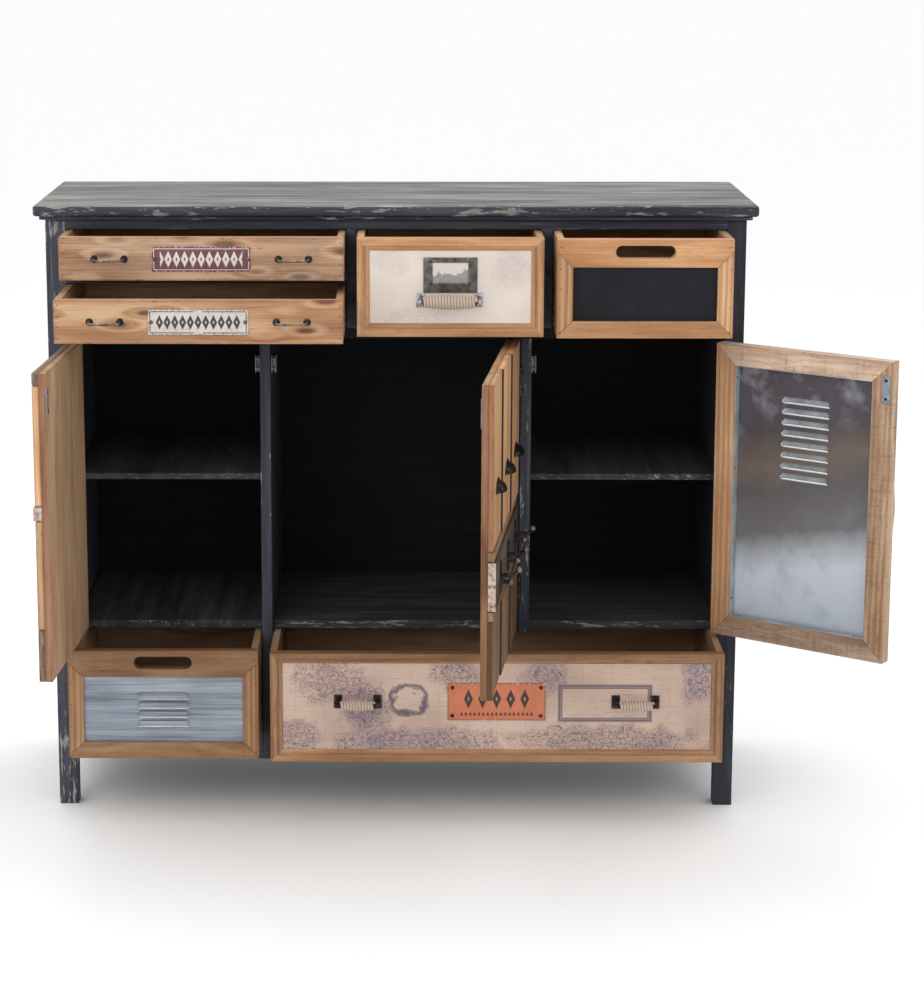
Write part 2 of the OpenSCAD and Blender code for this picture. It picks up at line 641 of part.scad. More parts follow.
module wide_drawer_frame() color(pine) pulled(pull_wide) bevelled_front(wide_x, low_z, wide_frame);
module wide_drawer_panel() color(paper) pulled(pull_wide) framed_sheet(wide_x, low_z, wide_frame, sheet_set, card_t);
module wide_drawer_box() color(pine) pulled(pull_wide) drawer_box(wide_x, low_z);
number_plate = [164, 65];
wide_z = mid(low_z) + 10;
module wide_drawer_number_plate() color("#c8542c") pulled(pull_wide) translate([mid(wide_x), front + sheet_set, wide_z]) {
    block([-1, 1] * number_plate[0] / 2, [-tin_t, 0], [-1, 1] * number_plate[1] / 2);
    for (sx = [-1, 1], sz = [-1, 1]) translate([sx * (number_plate[0] / 2 - 8), -tin_t, sz * (number_plate[1] / 2 - 8)])
        rotate([90, 0, 0]) cylinder(h = 1.5, r = 3.5);
}
wide_grip_x = 232;
wide_grip_l = 66;
module wide_grips_at() for (s = [-1, 1])
    translate([mid(wide_x) + s * wide_grip_x, front + sheet_set, wide_z]) children();
module wide_drawer_brackets() color(iron) pulled(pull_wide) wide_grips_at() grip_brackets(wide_grip_l);
module wide_drawer_grips() color(rope) pulled(pull_wide) wide_grips_at() rope_grip(wide_grip_l, 7, 9.5);

top_board();
top_moulding();
front_posts();
back_posts();
side_panels();
side_rails();
back_panel();
top_rails();
split_rail();
upper_deck();
top_dividers();
left_divider();
right_divider();
bay_floors();
bottom_rails();
base_panels();
shelves();
shelf_pins();
drawer_runners();
door_catches();
post_hinge_leaves();
left_door_boards();
left_door_planks();
left_door_pull();
left_door_fittings();
middle_door_boards();
middle_door_planks();
middle_door_cup_pulls();
middle_door_hooks();
middle_door_fittings();
right_door_frame();
right_door_sheet();
right_door_pull();
right_door_fittings();
upper_drawer_front();
upper_drawer_box();
upper_drawer_pulls();
upper_drawer_nameplate();
lower_drawer_front();
lower_drawer_box();
lower_drawer_pulls();
lower_drawer_nameplate();
map_drawer_frame();
map_drawer_panel();
map_drawer_box();
map_drawer_label_holder();
map_drawer_brackets();
map_drawer_grip();
slate_drawer_frame();
slate_drawer_panel();
slate_drawer_box();
zinc_drawer_frame();
zinc_drawer_sheet();
zinc_drawer_box();
wide_drawer_frame();
wide_drawer_panel();
wide_drawer_box();
wide_drawer_number_plate();
wide_drawer_brackets();
wide_drawer_grips();
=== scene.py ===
import math
import random

import bmesh
import bpy
from mathutils import Matrix, Vector


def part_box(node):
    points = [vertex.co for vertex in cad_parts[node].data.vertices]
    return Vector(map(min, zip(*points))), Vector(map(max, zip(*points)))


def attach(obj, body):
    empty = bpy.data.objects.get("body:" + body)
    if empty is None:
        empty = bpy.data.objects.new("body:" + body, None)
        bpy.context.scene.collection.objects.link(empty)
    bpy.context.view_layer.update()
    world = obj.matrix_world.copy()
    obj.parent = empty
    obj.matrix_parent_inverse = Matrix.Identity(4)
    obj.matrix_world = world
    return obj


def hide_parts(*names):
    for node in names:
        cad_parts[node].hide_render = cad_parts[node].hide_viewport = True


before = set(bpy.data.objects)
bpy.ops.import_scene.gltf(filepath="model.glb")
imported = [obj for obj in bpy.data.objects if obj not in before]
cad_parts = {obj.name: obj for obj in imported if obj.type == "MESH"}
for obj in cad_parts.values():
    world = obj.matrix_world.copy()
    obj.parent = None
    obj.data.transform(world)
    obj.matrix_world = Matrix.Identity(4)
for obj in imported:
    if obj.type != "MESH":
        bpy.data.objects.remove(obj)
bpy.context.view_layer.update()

random.seed(11)


# ---- The view ----
# A long lens at standing eye height in front of the sideboard, a pale floor that runs up
# into a white room, and soft boxes in front and above.
def linear(code):
    """An sRGB hex colour as linear RGBA."""
    parts = [int(code[i:i + 2], 16) / 255 for i in (1, 3, 5)]
    return [c / 12.92 if c <= 0.04045 else ((c + 0.055) / 1.055) ** 2.4 for c in parts] + [1.0]


def new_material(name):
    """A blank material, and the function that adds to it."""
    material = bpy.data.materials.new(name)
    material.use_nodes = True
    nodes, links = material.node_tree.nodes, material.node_tree.links
    nodes.clear()

    def add(kind, *values, out=0, stops=(), **named):
        """Adds a node with its operation, values or links (Capital_Names are sockets), settings and ramp stops."""
        kind, *operation = kind.split()
        new = nodes.new("ShaderNode" + kind)
        if operation:
            new.operation = operation[0]
        sockets = dict(enumerate(values))
        for key, value in named.items():
            if key[0].isupper():
                sockets[key.replace("_", " ")] = value
            else:
                setattr(new, key, value)
        for _ in stops[2:]:
            new.color_ramp.elements.new(1.0)
        for element, (place, colour) in zip(new.color_ramp.elements if stops else (), stops):
            element.position = place
            element.color = linear(colour) if isinstance(colour, str) else (colour,) * 3 + (1,)
        for socket, value in sockets.items():
            if isinstance(value, bpy.types.NodeSocket):
                links.new(value, new.inputs[socket])
            else:
                new.inputs[socket].default_value = value
        return new.outputs[out] if new.outputs else new
    return material, add


def surface(add, **inputs):
    """Ends a material in one principled shader."""
    add("OutputMaterial", add("BsdfPrincipled", **inputs))


scene = bpy.context.scene
scene.view_settings.view_transform = "Standard"
camera = bpy.data.objects.new("camera", bpy.data.cameras.new("camera"))
scene.collection.objects.link(camera)
scene.camera = camera
camera.location = (0.0197, -4.4755, 1.5262)
camera.rotation_euler = (math.radians(90 - 11.36), 0, math.radians(0.41))
camera.data.sensor_fit = "HORIZONTAL"
camera.data.lens = 101.3
camera.data.shift_x = 0.079
camera.data.shift_y = -0.0774
camera.data.clip_end = 200

world = bpy.data.worlds.new("room")
scene.world = world
world.use_nodes = True
world.node_tree.nodes["Background"].inputs["Color"].default_value = linear("#ffffff")
world.node_tree.nodes["Background"].inputs["Strength"].default_value = 1.0

for name, place, target, size, power in (
        ("softbox_left", (-2.4, -4.2, 3.0), (0, 0, 0.55), 2.6, 44),
        ("softbox_right", (2.8, -3.8, 2.4), (0, 0, 0.55), 2.2, 16),
        ("softbox_top", (0.0, 0.9, 3.6), (0, 0, 1.0), 2.8, 34)):
    lamp = bpy.data.lights.new(name, "AREA")
    lamp.size = size
    lamp.energy = power
    lamp_object = bpy.data.objects.new(name, lamp)
    scene.collection.objects.link(lamp_object)
    lamp_object.location = place
    lamp_object.rotation_euler = (Vector(target) - Vector(place)).to_track_quat("-Z", "Y").to_euler()

bm = bmesh.new()
bmesh.ops.create_grid(bm, x_segments=1, y_segments=1, size=60)
floor_mesh = bpy.data.meshes.new("floor")
bm.to_mesh(floor_mesh)
bm.free()
floor = bpy.data.objects.new("floor", floor_mesh)
scene.collection.objects.link(floor)
floor_paint, add = new_material("studio_floor")
surface(add, Base_Color=linear("#fcfcfc"), Roughness=0.9)
floor_mesh.materials.append(floor_paint)


# ---- Carcass boards ----
# Pine boards, brush-painted in a blue-black chalk paint and rubbed back at the arrises, glued
# and nailed. Each board carries its own grain coordinates, an edge band and a tone.
MM = 0.001


def since(bm, before):
    """The faces made since a set of faces was noted."""
    return [f for f in bm.faces if f not in before]


def whole(faces):
    """Faces with their edges and vertices."""
    return faces + list({e for f in faces for e in f.edges}) + list({v for f in faces for v in f.verts})


def sliced(bm, before, cuts):
    """Slices what was made since by planes (point, outward normal) and closes the cuts."""
    for point, normal in cuts:
        cut = bmesh.ops.bisect_plane(bm, geom=whole(since(bm, before)), plane_co=point, plane_no=normal, clear_outer=True)
        bmesh.ops.edgeloop_fill(bm, edges=[e for e in cut["geom_cut"] if isinstance(e, bmesh.types.BMEdge)])


def thicken(bm, faces, way):
    """Extrudes faces along a vector."""
    made = bmesh.ops.extrude_face_region(bm, geom=faces)["geom"]
    bmesh.ops.translate(bm, vec=way, verts=[g for g in made if isinstance(g, bmesh.types.BMVert)])


def ease_edges(bm, edges, ease, segments=2):
    """Rounds arrises over."""
    bmesh.ops.bevel(bm, geom=edges, offset=ease, segments=segments, profile=0.5, affect="EDGES", clamp_overlap=True, material=-1)


def layers(bm, kind, name):
    """An attribute on the vertices, made when it isn't there."""
    group = getattr(bm.verts.layers, kind)
    return group.get(name) or group.new(name)


def coat(faces, index):
    for f in faces:
        f.material_index = index


def dress(bm, faces, along, band, tone, origin=None):
    """Gives a board's vertices its grain coordinates (metres, along first), its edge band and its tone."""
    grain, tones, edge = layers(bm, "float_vector", "grain"), layers(bm, "float_vector", "tone"), layers(bm, "float", "edge")
    verts = {v for f in faces for v in f.verts}
    offset = Vector((random.uniform(0, 40), random.uniform(0, 40), random.uniform(0, 40)))
    if origin is not None:
        offset = -Vector(origin)
    order = {"x": (0, 1, 2), "y": (1, 2, 0), "z": (2, 0, 1)}[along]
    for v in verts:
        v[edge] = 1.0
    wide = [f for f in faces if len(f.verts) >= 4 and f.calc_area() > (3 * band) ** 2 and
            min(e.calc_length() for e in f.edges) > 2.4 * band] if band else []
    if wide:
        inner = bmesh.ops.inset_individual(bm, faces=wide, thickness=band, use_even_offset=True)["faces"]
        kept = {v for f in wide for v in f.verts}
        verts |= kept | {v for f in inner for v in f.verts}
        for v in kept:
            v[edge] = 0.0
    for v in verts:
        moved = v.co + offset
        v[grain] = Vector([moved[i] for i in order])
        v[tones] = Vector(tone)


def plank(bm, low, high, along="x", ease=0.8 * MM, band=3 * MM, tone=(1, 0, 0.3), cuts=(), origin=None, segments=2):
    """A board between two corners, cut by planes (point, outward normal), with eased arrises."""
    before = set(bm.faces)
    made = bmesh.ops.create_cube(bm, size=1)["verts"]
    for v in made:
        v.co = Vector([low[i] + (v.co[i] + 0.5) * (high[i] - low[i]) for i in range(3)])
    sliced(bm, before, cuts)
    if ease:
        ease_edges(bm, list({e for f in since(bm, before) for e in f.edges}), ease, segments)
    faces = since(bm, before)
    dress(bm, faces, along, band, tone, origin)
    return since(bm, before)


def piece(bm, name, body, material, nodes=(), place=None, smooth=35):
    """Turns a bmesh into a finished piece that rides on a body and may stand for CAD nodes."""
    if place is not None:
        bmesh.ops.transform(bm, matrix=place, verts=bm.verts)
        if place.determinant() < 0:
            bmesh.ops.reverse_faces(bm, faces=bm.faces)
    for f in bm.faces:
        f.smooth = True
    for e in bm.edges:
        e.smooth = len(e.link_faces) == 2 and e.calc_face_angle(3.2) < math.radians(smooth)
    mesh = bpy.data.meshes.new(name)
    bm.to_mesh(mesh)
    bm.free()
    new = bpy.data.objects.new(name, mesh)
    scene.collection.objects.link(new)
    for m in material if isinstance(material, list) else [material]:
        mesh.materials.append(m)
    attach(new, body)
    if nodes:
        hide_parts(*nodes)
    return new


def from_cad(node_name, ease=0.8 * MM, band=3 * MM, along=None, tones=None):
    """A merged copy of a CAD node with eased arrises, one board per solid."""
    bm = bmesh.new()
    bm.from_mesh(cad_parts[node_name].data)
    bmesh.ops.remove_doubles(bm, verts=bm.verts, dist=1e-6)
    bmesh.ops.dissolve_limit(bm, angle_limit=math.radians(1), verts=bm.verts, edges=bm.edges)
    seen, boards = set(), []
    for start in bm.faces:
        if start in seen:
            continue
        island, stack = [], [start]
        seen.add(start)
        while stack:
            f = stack.pop()
            island.append(f)
            for g in {h for e in f.edges for h in e.link_faces} - seen:
                seen.add(g)
                stack.append(g)
        boards.append(island)
    boards.sort(key=lambda b: tuple(round(max(v.co[i] for f in b for v in f.verts), 4) for i in (2, 0, 1)), reverse=True)
    for count, island in enumerate(boards):
        others = set(bm.faces) - set(island)
        if ease:
            ease_edges(bm, list({e for f in island for e in f.edges if e.calc_face_angle(0) > 0.5}), ease)
        island = since(bm, others)
        spots = [v.co for f in island for v in f.verts]
        size = [max(s[i] for s in spots) - min(s[i] for s in spots) for i in range(3)]
        tone = tones[count % len(tones)] if tones else [random.uniform(a, b) for a, b in ((0.9, 1.08), (0, 0.15), (0.2, 0.5))]
        dress(bm, island, along or "xyz"[size.index(max(size))], band, tone)
    return bm


def chalk_paint(name, deep, mid, pale, streak, chip_wood, chip_amount, sheen, dust):
    """Chalk paint brushed along the grain and rubbed back: streaks a few millimetres wide, chipped arrises."""
    material, add = new_material(name)
    grain = add("Attribute", out="Vector", attribute_name="grain")
    edge = add("Attribute", out="Fac", attribute_name="edge")
    # brush streaks about 3 mm wide and 150 mm long, and broader ones of 20 mm
    fine = add("TexNoise", add("Mapping", grain, Scale=(7, 320, 320)), Scale=1.0, Detail=3.0, Roughness=0.6)
    broad = add("TexNoise", add("Mapping", grain, Scale=(3, 45, 45)), Scale=1.0, Detail=4.0, Roughness=0.65)
    cloud = add("TexNoise", grain, Scale=9.0, Detail=5.0, Roughness=0.6)
    tint = add("ValToRGB", broad, stops=[(0.32, deep), (0.5, mid), (0.7, pale)])
    fine_mask = add("ValToRGB", fine, stops=[(0.56, 0.0), (0.78, 1.0)])
    cloud_mask = add("ValToRGB", cloud, stops=[(0.42, 0.0), (0.68, 1.0)])
    streaky = add("Math MULTIPLY", fine_mask, cloud_mask)
    streaky = add("Math MULTIPLY", streaky, dust)
    tint = add("MixRGB", streaky, tint, linear(streak))
    # chips where the arrises were rubbed: the band attribute, broken up by 10 mm noise
    ragged = add("TexNoise", add("Mapping", grain, Scale=(26, 150, 150)), Scale=1.0, Detail=6.0, Roughness=0.7)
    place = add("TexNoise", grain, Scale=5.5, Detail=2.0)
    chip = add("Math ADD", ragged, add("Math MULTIPLY", edge, 0.3))
    chip = add("Math ADD", chip, add("Math MULTIPLY", place, 0.45))
    chip = add("MapRange", chip, 1.22 - chip_amount, 1.25 - chip_amount)
    bare = add("ValToRGB", fine, stops=[(0.35, chip_wood), (0.62, streak)])
    tone = add("SeparateXYZ", add("Attribute", out="Vector", attribute_name="tone"))
    colour = add("HueSaturation", Value=tone, Color=add("MixRGB", chip, tint, bare))
    relief = add("Math SUBTRACT", fine, chip)
    normal = add("Bump", Strength=0.35, Distance=0.0006, Height=relief)
    rough = add("MapRange", broad, 0.3, 0.7, sheen, sheen + 0.2)
    surface(add, Base_Color=colour, Roughness=rough, Normal=normal, Specular_IOR_Level=0.2)
    return material


carcass_paint = chalk_paint("blue_black_chalk_paint", "#2b2e36", "#393c46", "#4d5059", "#8f8e8f", "#827b76", 0.08, 0.6, 0.6)
inner_paint = chalk_paint("black_inside_paint", "#0c0e11", "#121519", "#1c1f23", "#6a6967", "#6b5343", 0.07, 0.7, 0.16)
dusty_paint = chalk_paint("dusty_black_floor_paint", "#2b2c2f", "#3a3c3f", "#4c4e51", "#94918c", "#86776a", 0.09, 0.75, 0.6)

# the right front post is coloured darker and the left one lighter: painted shade and painted light
post_light_and_shade_tones = ((0.65, 0, 0), (1.25, 0, 0))
for node_name, ease, paint in (
        ("top_moulding", 2.2, carcass_paint), ("front_posts", 1.5, carcass_paint), ("back_posts", 1.5, carcass_paint),
        ("side_panels", 0.8, carcass_paint), ("side_rails", 1.0, carcass_paint), ("back_panel", 0.5, inner_paint),
        ("top_rails", 0.8, carcass_paint), ("split_rail", 0.8, carcass_paint), ("upper_deck", 0.8, inner_paint),
        ("top_dividers", 0.8, carcass_paint), ("left_divider", 1.2, carcass_paint), ("right_divider", 1.2, carcass_paint),
        ("bay_floors", 1.6, dusty_paint), ("bottom_rails", 1.0, carcass_paint), ("base_panels", 0.5, carcass_paint),
        ("shelves", 1.2, dusty_paint)):
    bm = from_cad(node_name, ease * MM, (5 if ease > 1 else 3) * MM, tones=post_light_and_shade_tones if node_name == "front_posts" else None)
    piece(bm, node_name + "_painted", "carcass", paint, [node_name])


# ---- Top board ----
# A glued pine panel with a rounded edge, painted slate grey and dry-brushed paler along its
# length, then scuffed by use.
slate_top = chalk_paint("slate_grey_top_paint", "#484a48", "#6e706d", "#969691", "#d3d3cd", "#3a3d41", 0.08, 0.7, 1.7)
low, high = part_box("top_board")
bm = bmesh.new()
plank(bm, low, high, "x", ease=5.5 * MM, band=8 * MM, tone=(1, 0, 0), segments=5)
for f in bm.faces:
    f.material_index = 0 if f.normal.z > 0.5 else 1
piece(bm, "top_board_rounded", "carcass", [slate_top, carcass_paint], ["top_board"], smooth=50)


# ---- Pine ----
# Old pine boards, waxed or left raw: growth rings as long flames, darker knots, dents with
# dirt in them, and a grey skin where they weathered.
def pine(name, light, mid, dark, knot, gloss, saw=0.0, knots=0.42, crowd=1.0):
    material, add = new_material(name)
    grain = add("Attribute", out="Vector", attribute_name="grain")
    edge = add("Attribute", out="Fac", attribute_name="edge")
    tone = add("SeparateXYZ", add("Attribute", out="Vector", attribute_name="tone"))
    bright, grey, dirt = tone, tone.node.outputs[1], tone.node.outputs[2]
    # knots: one in three 250 x 70 mm cells, about 30 x 10 mm
    cells = add("Mapping", grain, Scale=(4.2 * crowd, 14 * crowd, 14 * crowd))
    spot = add("TexVoronoi", cells, Scale=1.0, Randomness=0.9, out="Distance")
    lot = add("SeparateXYZ", spot.node.outputs["Color"])
    knotty = add("Math GREATER_THAN", lot, 1 - knots)
    core = add("MapRange", spot, 0.07 + 0.06 * crowd, 0.02 + 0.04 * crowd)
    core = add("Math MULTIPLY", core, knotty)
    halo = add("MapRange", spot, 0.42, 0.08)
    halo = add("Math MULTIPLY", halo, knotty)
    # rings about 7 mm apart, drawn out along the board and bent round the knots
    drawn = add("Mapping", grain, Scale=(0.75, 9.0, 9.0))
    bent = add("VectorMath ADD", drawn, add("CombineXYZ", Y=add("Math MULTIPLY", halo, 0.1)))
    rings = add("TexWave", bent, Scale=3.4, Distortion=9.0, Detail=3.0, Detail_Scale=0.5, Detail_Roughness=0.55, out="Fac",
                bands_direction="Y")
    fibre = add("TexNoise", add("Mapping", grain, Scale=(10, 700, 700)), Scale=1.0, Detail=2.0, Roughness=0.6)
    cloud = add("TexNoise", add("Mapping", grain, Scale=(4, 22, 22)), Scale=1.0, Detail=3.0)
    figure = add("Math ADD", add("Math MULTIPLY", rings, 0.2), add("Math MULTIPLY", fibre, 0.44))
    figure = add("Math ADD", figure, add("Math MULTIPLY", cloud, 0.62))
    colour = add("ValToRGB", figure, stops=[(0.42, light), (0.64, mid), (0.86, dark)])
    colour = add("MixRGB", add("Math MULTIPLY", halo, 0.35), colour, linear(dark))
    colour = add("MixRGB", add("Math MULTIPLY", core, 0.85), colour, linear(knot))
    # weathering: grey skin in patches, and saw marks across the grain every 4 mm on rough boards
    patch = add("TexNoise", add("Mapping", grain, Scale=(7, 40, 40)), Scale=1.0, Detail=5.0, Roughness=0.7)
    patch = add("MapRange", patch, 0.35, 0.62, 0.25, 1.3)
    greyed = add("ValToRGB", figure, stops=[(0.42, "#b7ada3"), (0.64, "#94897f"), (0.86, "#655b54")])
    colour = add("MixRGB", add("Math MULTIPLY", patch, grey, use_clamp=True), colour, greyed)
    marks = add("TexNoise", add("Mapping", grain, Scale=(210, 9, 9)), Scale=1.0, Detail=2.0, Roughness=0.5)
    marks = add("MapRange", marks, 0.48, 0.78, 0.0, saw)
    broken = add("MapRange", patch, 0.6, 1.1)
    marks = add("Math MULTIPLY", marks, broken, use_clamp=True)
    colour = add("MixRGB", marks, colour, linear("#6f5d50"))
    # dirt: specks and short scratches, thicker near the arrises
    speck = add("TexNoise", add("Mapping", grain, Scale=(60, 210, 210)), Scale=1.0, Detail=6.0, Roughness=0.75)
    speck = add("Math ADD", speck, add("Math MULTIPLY", edge, 0.1))
    speck = add("MapRange", speck, 0.62, 0.74)
    speck = add("Math MULTIPLY", speck, dirt, use_clamp=True)
    colour = add("MixRGB", speck, colour, linear("#4a362a"))
    arris = add("Math MULTIPLY", edge, add("Math MULTIPLY", patch, 0.42))
    colour = add("MixRGB", arris, colour, linear("#8a5f3d"))
    colour = add("HueSaturation", Value=bright, Color=colour)
    relief = add("Math SUBTRACT", fibre, add("Math MULTIPLY", rings, 0.3))
    relief = add("Math SUBTRACT", relief, add("Math ADD", speck, marks))
    normal = add("Bump", Strength=0.3, Distance=0.0004, Height=relief)
    rough = add("MapRange", figure, 0.3, 0.8, gloss, gloss + 0.15)
    surface(add, Base_Color=colour, Roughness=rough, Normal=normal, Specular_IOR_Level=0.3)
    return material


waxed = pine("waxed_pine", "#cba680", "#b28761", "#8c6241", "#54301f", 0.5)
raw = pine("raw_pine", "#d0b08f", "#b48f6c", "#8f6a48", "#5d3527", 0.65)
rough_pine = pine("rough_sawn_pine", "#cdb196", "#b79778", "#937054", "#5a3326", 0.66, saw=0.8)
knotty_pine = pine("knotty_old_pine", "#ccaa86", "#b38862", "#8a5c3c", "#54261a", 0.5, knots=0.9, crowd=2.1)
edge_pine = pine("stained_board_edge", "#a87a5c", "#8c5f45", "#69432f", "#4a2a1c", 0.66)
grey_board = pine("weathered_boards", "#a8937f", "#84705d", "#5d4c40", "#3a2a21", 0.75, saw=0.4)


# ---- Drawer boxes and runners ----
# Butt-jointed pine sides and backs, thin ply bottoms, nailed, and hardwood runners under them.
piece(from_cad("drawer_runners", 0.6 * MM, 0), "drawer_runners_waxed", "carcass", raw, ["drawer_runners"])
SIDE, PLY, PLY_LIFT, DROP, FRONT = 12 * MM, 5 * MM, 8 * MM, 8 * MM, 18 * MM
for name in ("upper", "lower", "map", "slate", "zinc", "wide"):
    low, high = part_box(name + "_drawer_box")
    bm = bmesh.new()
    for x in (low.x, high.x - SIDE):
        plank(bm, (x, low.y, low.z), (x + SIDE, high.y, high.z), "y", 0.9 * MM, 2.5 * MM, (random.uniform(0.8, 0.95), 0.1, 0.5))
    plank(bm, (low.x + SIDE, high.y - SIDE, low.z + PLY_LIFT + PLY), (high.x - SIDE, high.y, high.z - DROP), "x",
          0.8 * MM, 2.5 * MM, (1.3 if name in ("upper", "lower") else 0.8, 0.1, 0.5))
    plank(bm, (low.x + SIDE, low.y, low.z + PLY_LIFT), (high.x - SIDE, high.y, low.z + PLY_LIFT + PLY), "x",
          0.3 * MM, 0, (0.85, 0.05, 0.4))
    piece(bm, name + "_drawer_boards", name + "_drawer", raw, [name + "_drawer_box"])


# ---- Small drawer fronts ----
# One waxed board each, nailed to the drawer sides through its ends.
nail_steel, add = new_material("dark_nail_steel")
surface(add, Base_Color=linear("#241d1a"), Roughness=0.55, Metallic=0.6)


def nails(bm, spots, radius=1.1 * MM, stand=0.25 * MM):
    """Flat nail heads on a face that looks towards -Y."""
    for x, y, z in spots:
        bmesh.ops.create_cone(bm, cap_ends=True, segments=10, radius1=radius, radius2=radius * 0.8, depth=2 * stand,
                              matrix=Matrix.Translation((x, y, z)) @ Matrix.Rotation(math.radians(90), 4, "X"))


for name, tone in (("upper", (1.12, 0.35, 1.0)), ("lower", (1.02, 0.12, 0.9))):
    low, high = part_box(name + "_drawer_front")
    bm = bmesh.new()
    plank(bm, low, high, "x", 1.2 * MM, 4 * MM, tone)
    piece(bm, name + "_drawer_face", name + "_drawer", knotty_pine, [name + "_drawer_front"])
    bm = bmesh.new()
    for x in (low.x + 6 * MM, high.x - 6 * MM):
        nails(bm, [(x, low.y, low.z + (high.z - low.z) * s) for s in (0.12, 0.38, 0.62, 0.88)])
    piece(bm, name + "_drawer_nails", name + "_drawer", nail_steel)


# ---- Slotted frames of the slate and zinc drawers ----
# Four mitred pieces, glued and pinned, with a finger slot routed through the top one.
def mitre(low, high, side, sides):
    """Corners and mitre planes of one piece of a frame between two corners. sides is (stile, top, bottom) widths."""
    stile, top, bottom = sides
    a, b, c, d = low.x, high.x, low.z, high.z
    corners = {"bottom": ((a, c), (b, c + bottom)), "top": ((a, d - top), (b, d)),
               "left": ((a, c), (a + stile, d)), "right": ((b - stile, c), (b, d))}
    (x0, z0), (x1, z1) = corners[side]
    low_step, high_step = max(0, bottom - stile), max(0, top - stile)
    inner = {"bl": ((a, c + low_step), (a + stile, c + bottom)), "br": ((b, c + low_step), (b - stile, c + bottom)),
             "tl": ((a, d - high_step), (a + stile, d - top)), "tr": ((b, d - high_step), (b - stile, d - top))}
    cuts = []
    for key in {"bottom": ("bl", "br"), "top": ("tl", "tr"), "left": ("bl", "tl"), "right": ("br", "tr")}[side]:
        (ox, oz), (ix, iz) = inner[key]
        across = Vector((iz - oz, 0, -(ix - ox)))
        middle = Vector(((x0 + x1) / 2, 0, {"top": d, "bottom": c}.get(side, (z0 + z1) / 2)))
        if across.dot(middle - Vector((ox, 0, oz))) > 0:
            across.negate()
        cuts.append((Vector((ox, low.y, oz)), across.normalized()))
    return Vector((x0, low.y, z0)), Vector((x1, high.y, z1)), cuts


def filled(bm, edges):
    """Flat faces between loops of edges."""
    made = bmesh.ops.triangle_fill(bm, use_beauty=True, use_dissolve=False, edges=edges)["geom"]
    return [g for g in made if isinstance(g, bmesh.types.BMFace)]


def ringed(bm, points):
    """The edges of one closed loop."""
    ring = [bm.verts.new(p) for p in points]
    return [bm.edges.new((a, b)) for a, b in zip(ring, ring[1:] + ring[:1])]


def slotted_rail(bm, low, high, cuts, slot_centre, slot_size, tone):
    """A top piece with a round-ended slot routed through it."""
    before = set(bm.faces)
    edges = ringed(bm, [(x, low.y, z) for x, z in ((low.x, low.z), (high.x, low.z), (high.x, high.z), (low.x, high.z))])
    radius, reach = slot_size[1] / 2, slot_size[0] / 2 - slot_size[1] / 2
    turns = [2 * math.pi * (i + 0.5) / 32 for i in range(32)]
    edges += ringed(bm, [(slot_centre[0] + math.copysign(reach, math.cos(turn)) + radius * math.cos(turn), low.y,
                          slot_centre[1] + radius * math.sin(turn)) for turn in turns])
    made = filled(bm, edges)
    thicken(bm, made, (0, high.y - low.y, 0))
    bmesh.ops.recalc_face_normals(bm, faces=since(bm, before))
    sliced(bm, before, cuts)
    ease_edges(bm, list({e for f in since(bm, before) for e in f.edges if e.calc_face_angle(0) > 0.6}), 1.0 * MM)
    dress(bm, since(bm, before), "x", 0, tone)


SLOT_SIZE, SLOT_DOWN, SLOT_FRAME = (97 * MM, 21 * MM), 21 * MM, (26 * MM, 46 * MM, 28 * MM)
for name, tones in (("slate", ((1.48, 0, 0.15), (1.12, 0, 0.25), (0.94, 0, 0.2), (1.1, 0, 0.25))),
                    ("zinc", ((0.60, 0, 0.35), (0.72, 0, 0.35), (0.72, 0, 0.3), (0.72, 0, 0.35)))):
    low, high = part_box(name + "_drawer_frame")
    bm = bmesh.new()
    for side, tone in zip(("top", "bottom", "left", "right"), tones):
        a, b, cuts = mitre(low, high, side, SLOT_FRAME)
        if side == "top":
            slotted_rail(bm, a, b, cuts, ((a.x + b.x) / 2, high.z - SLOT_DOWN), SLOT_SIZE, tone)
        else:
            plank(bm, a, b, "x" if side == "bottom" else "z", 1.0 * MM, 3 * MM, tone, cuts)
    piece(bm, name + "_drawer_mitred_frame", name + "_drawer", waxed, [name + "_drawer_frame"])
    bm = bmesh.new()
    for x in (low.x + 5 * MM, high.x - 5 * MM):
        nails(bm, [(x, low.y, low.z + (high.z - low.z) * s) for s in (0.06, 0.3, 0.5, 0.7, 0.92)])
    nails(bm, [(low.x + 9 * MM, low.y, high.z - 14 * MM), (high.x - 9 * MM, low.y, high.z - 14 * MM)])
    piece(bm, name + "_drawer_nails", name + "_drawer", nail_steel)


# ---- Slate panel ----
# A fibre board coated with matt writing-board paint, with the faint bloom of wiped chalk.
writing_board, add = new_material("matt_writing_board")
grain = add("TexCoord", out="Object")
chalk_bloom_and_reflected_cloud = add("TexNoise", grain, Scale=16.0, Detail=5.0, Roughness=0.65)
colour = add("ValToRGB", chalk_bloom_and_reflected_cloud, stops=[(0.35, "#17181d"), (0.62, "#1c1d23"), (0.8, "#26282d")])
tooth = add("TexNoise", grain, Scale=900.0, Detail=2.0)
surface(add, Base_Color=colour, Roughness=0.7, Specular_IOR_Level=0.2,
        Normal=add("Bump", Strength=0.15, Distance=0.0002, Height=tooth))
piece(from_cad("slate_drawer_panel", 0.3 * MM, 0), "writing_board", "slate_drawer", writing_board, ["slate_drawer_panel"])


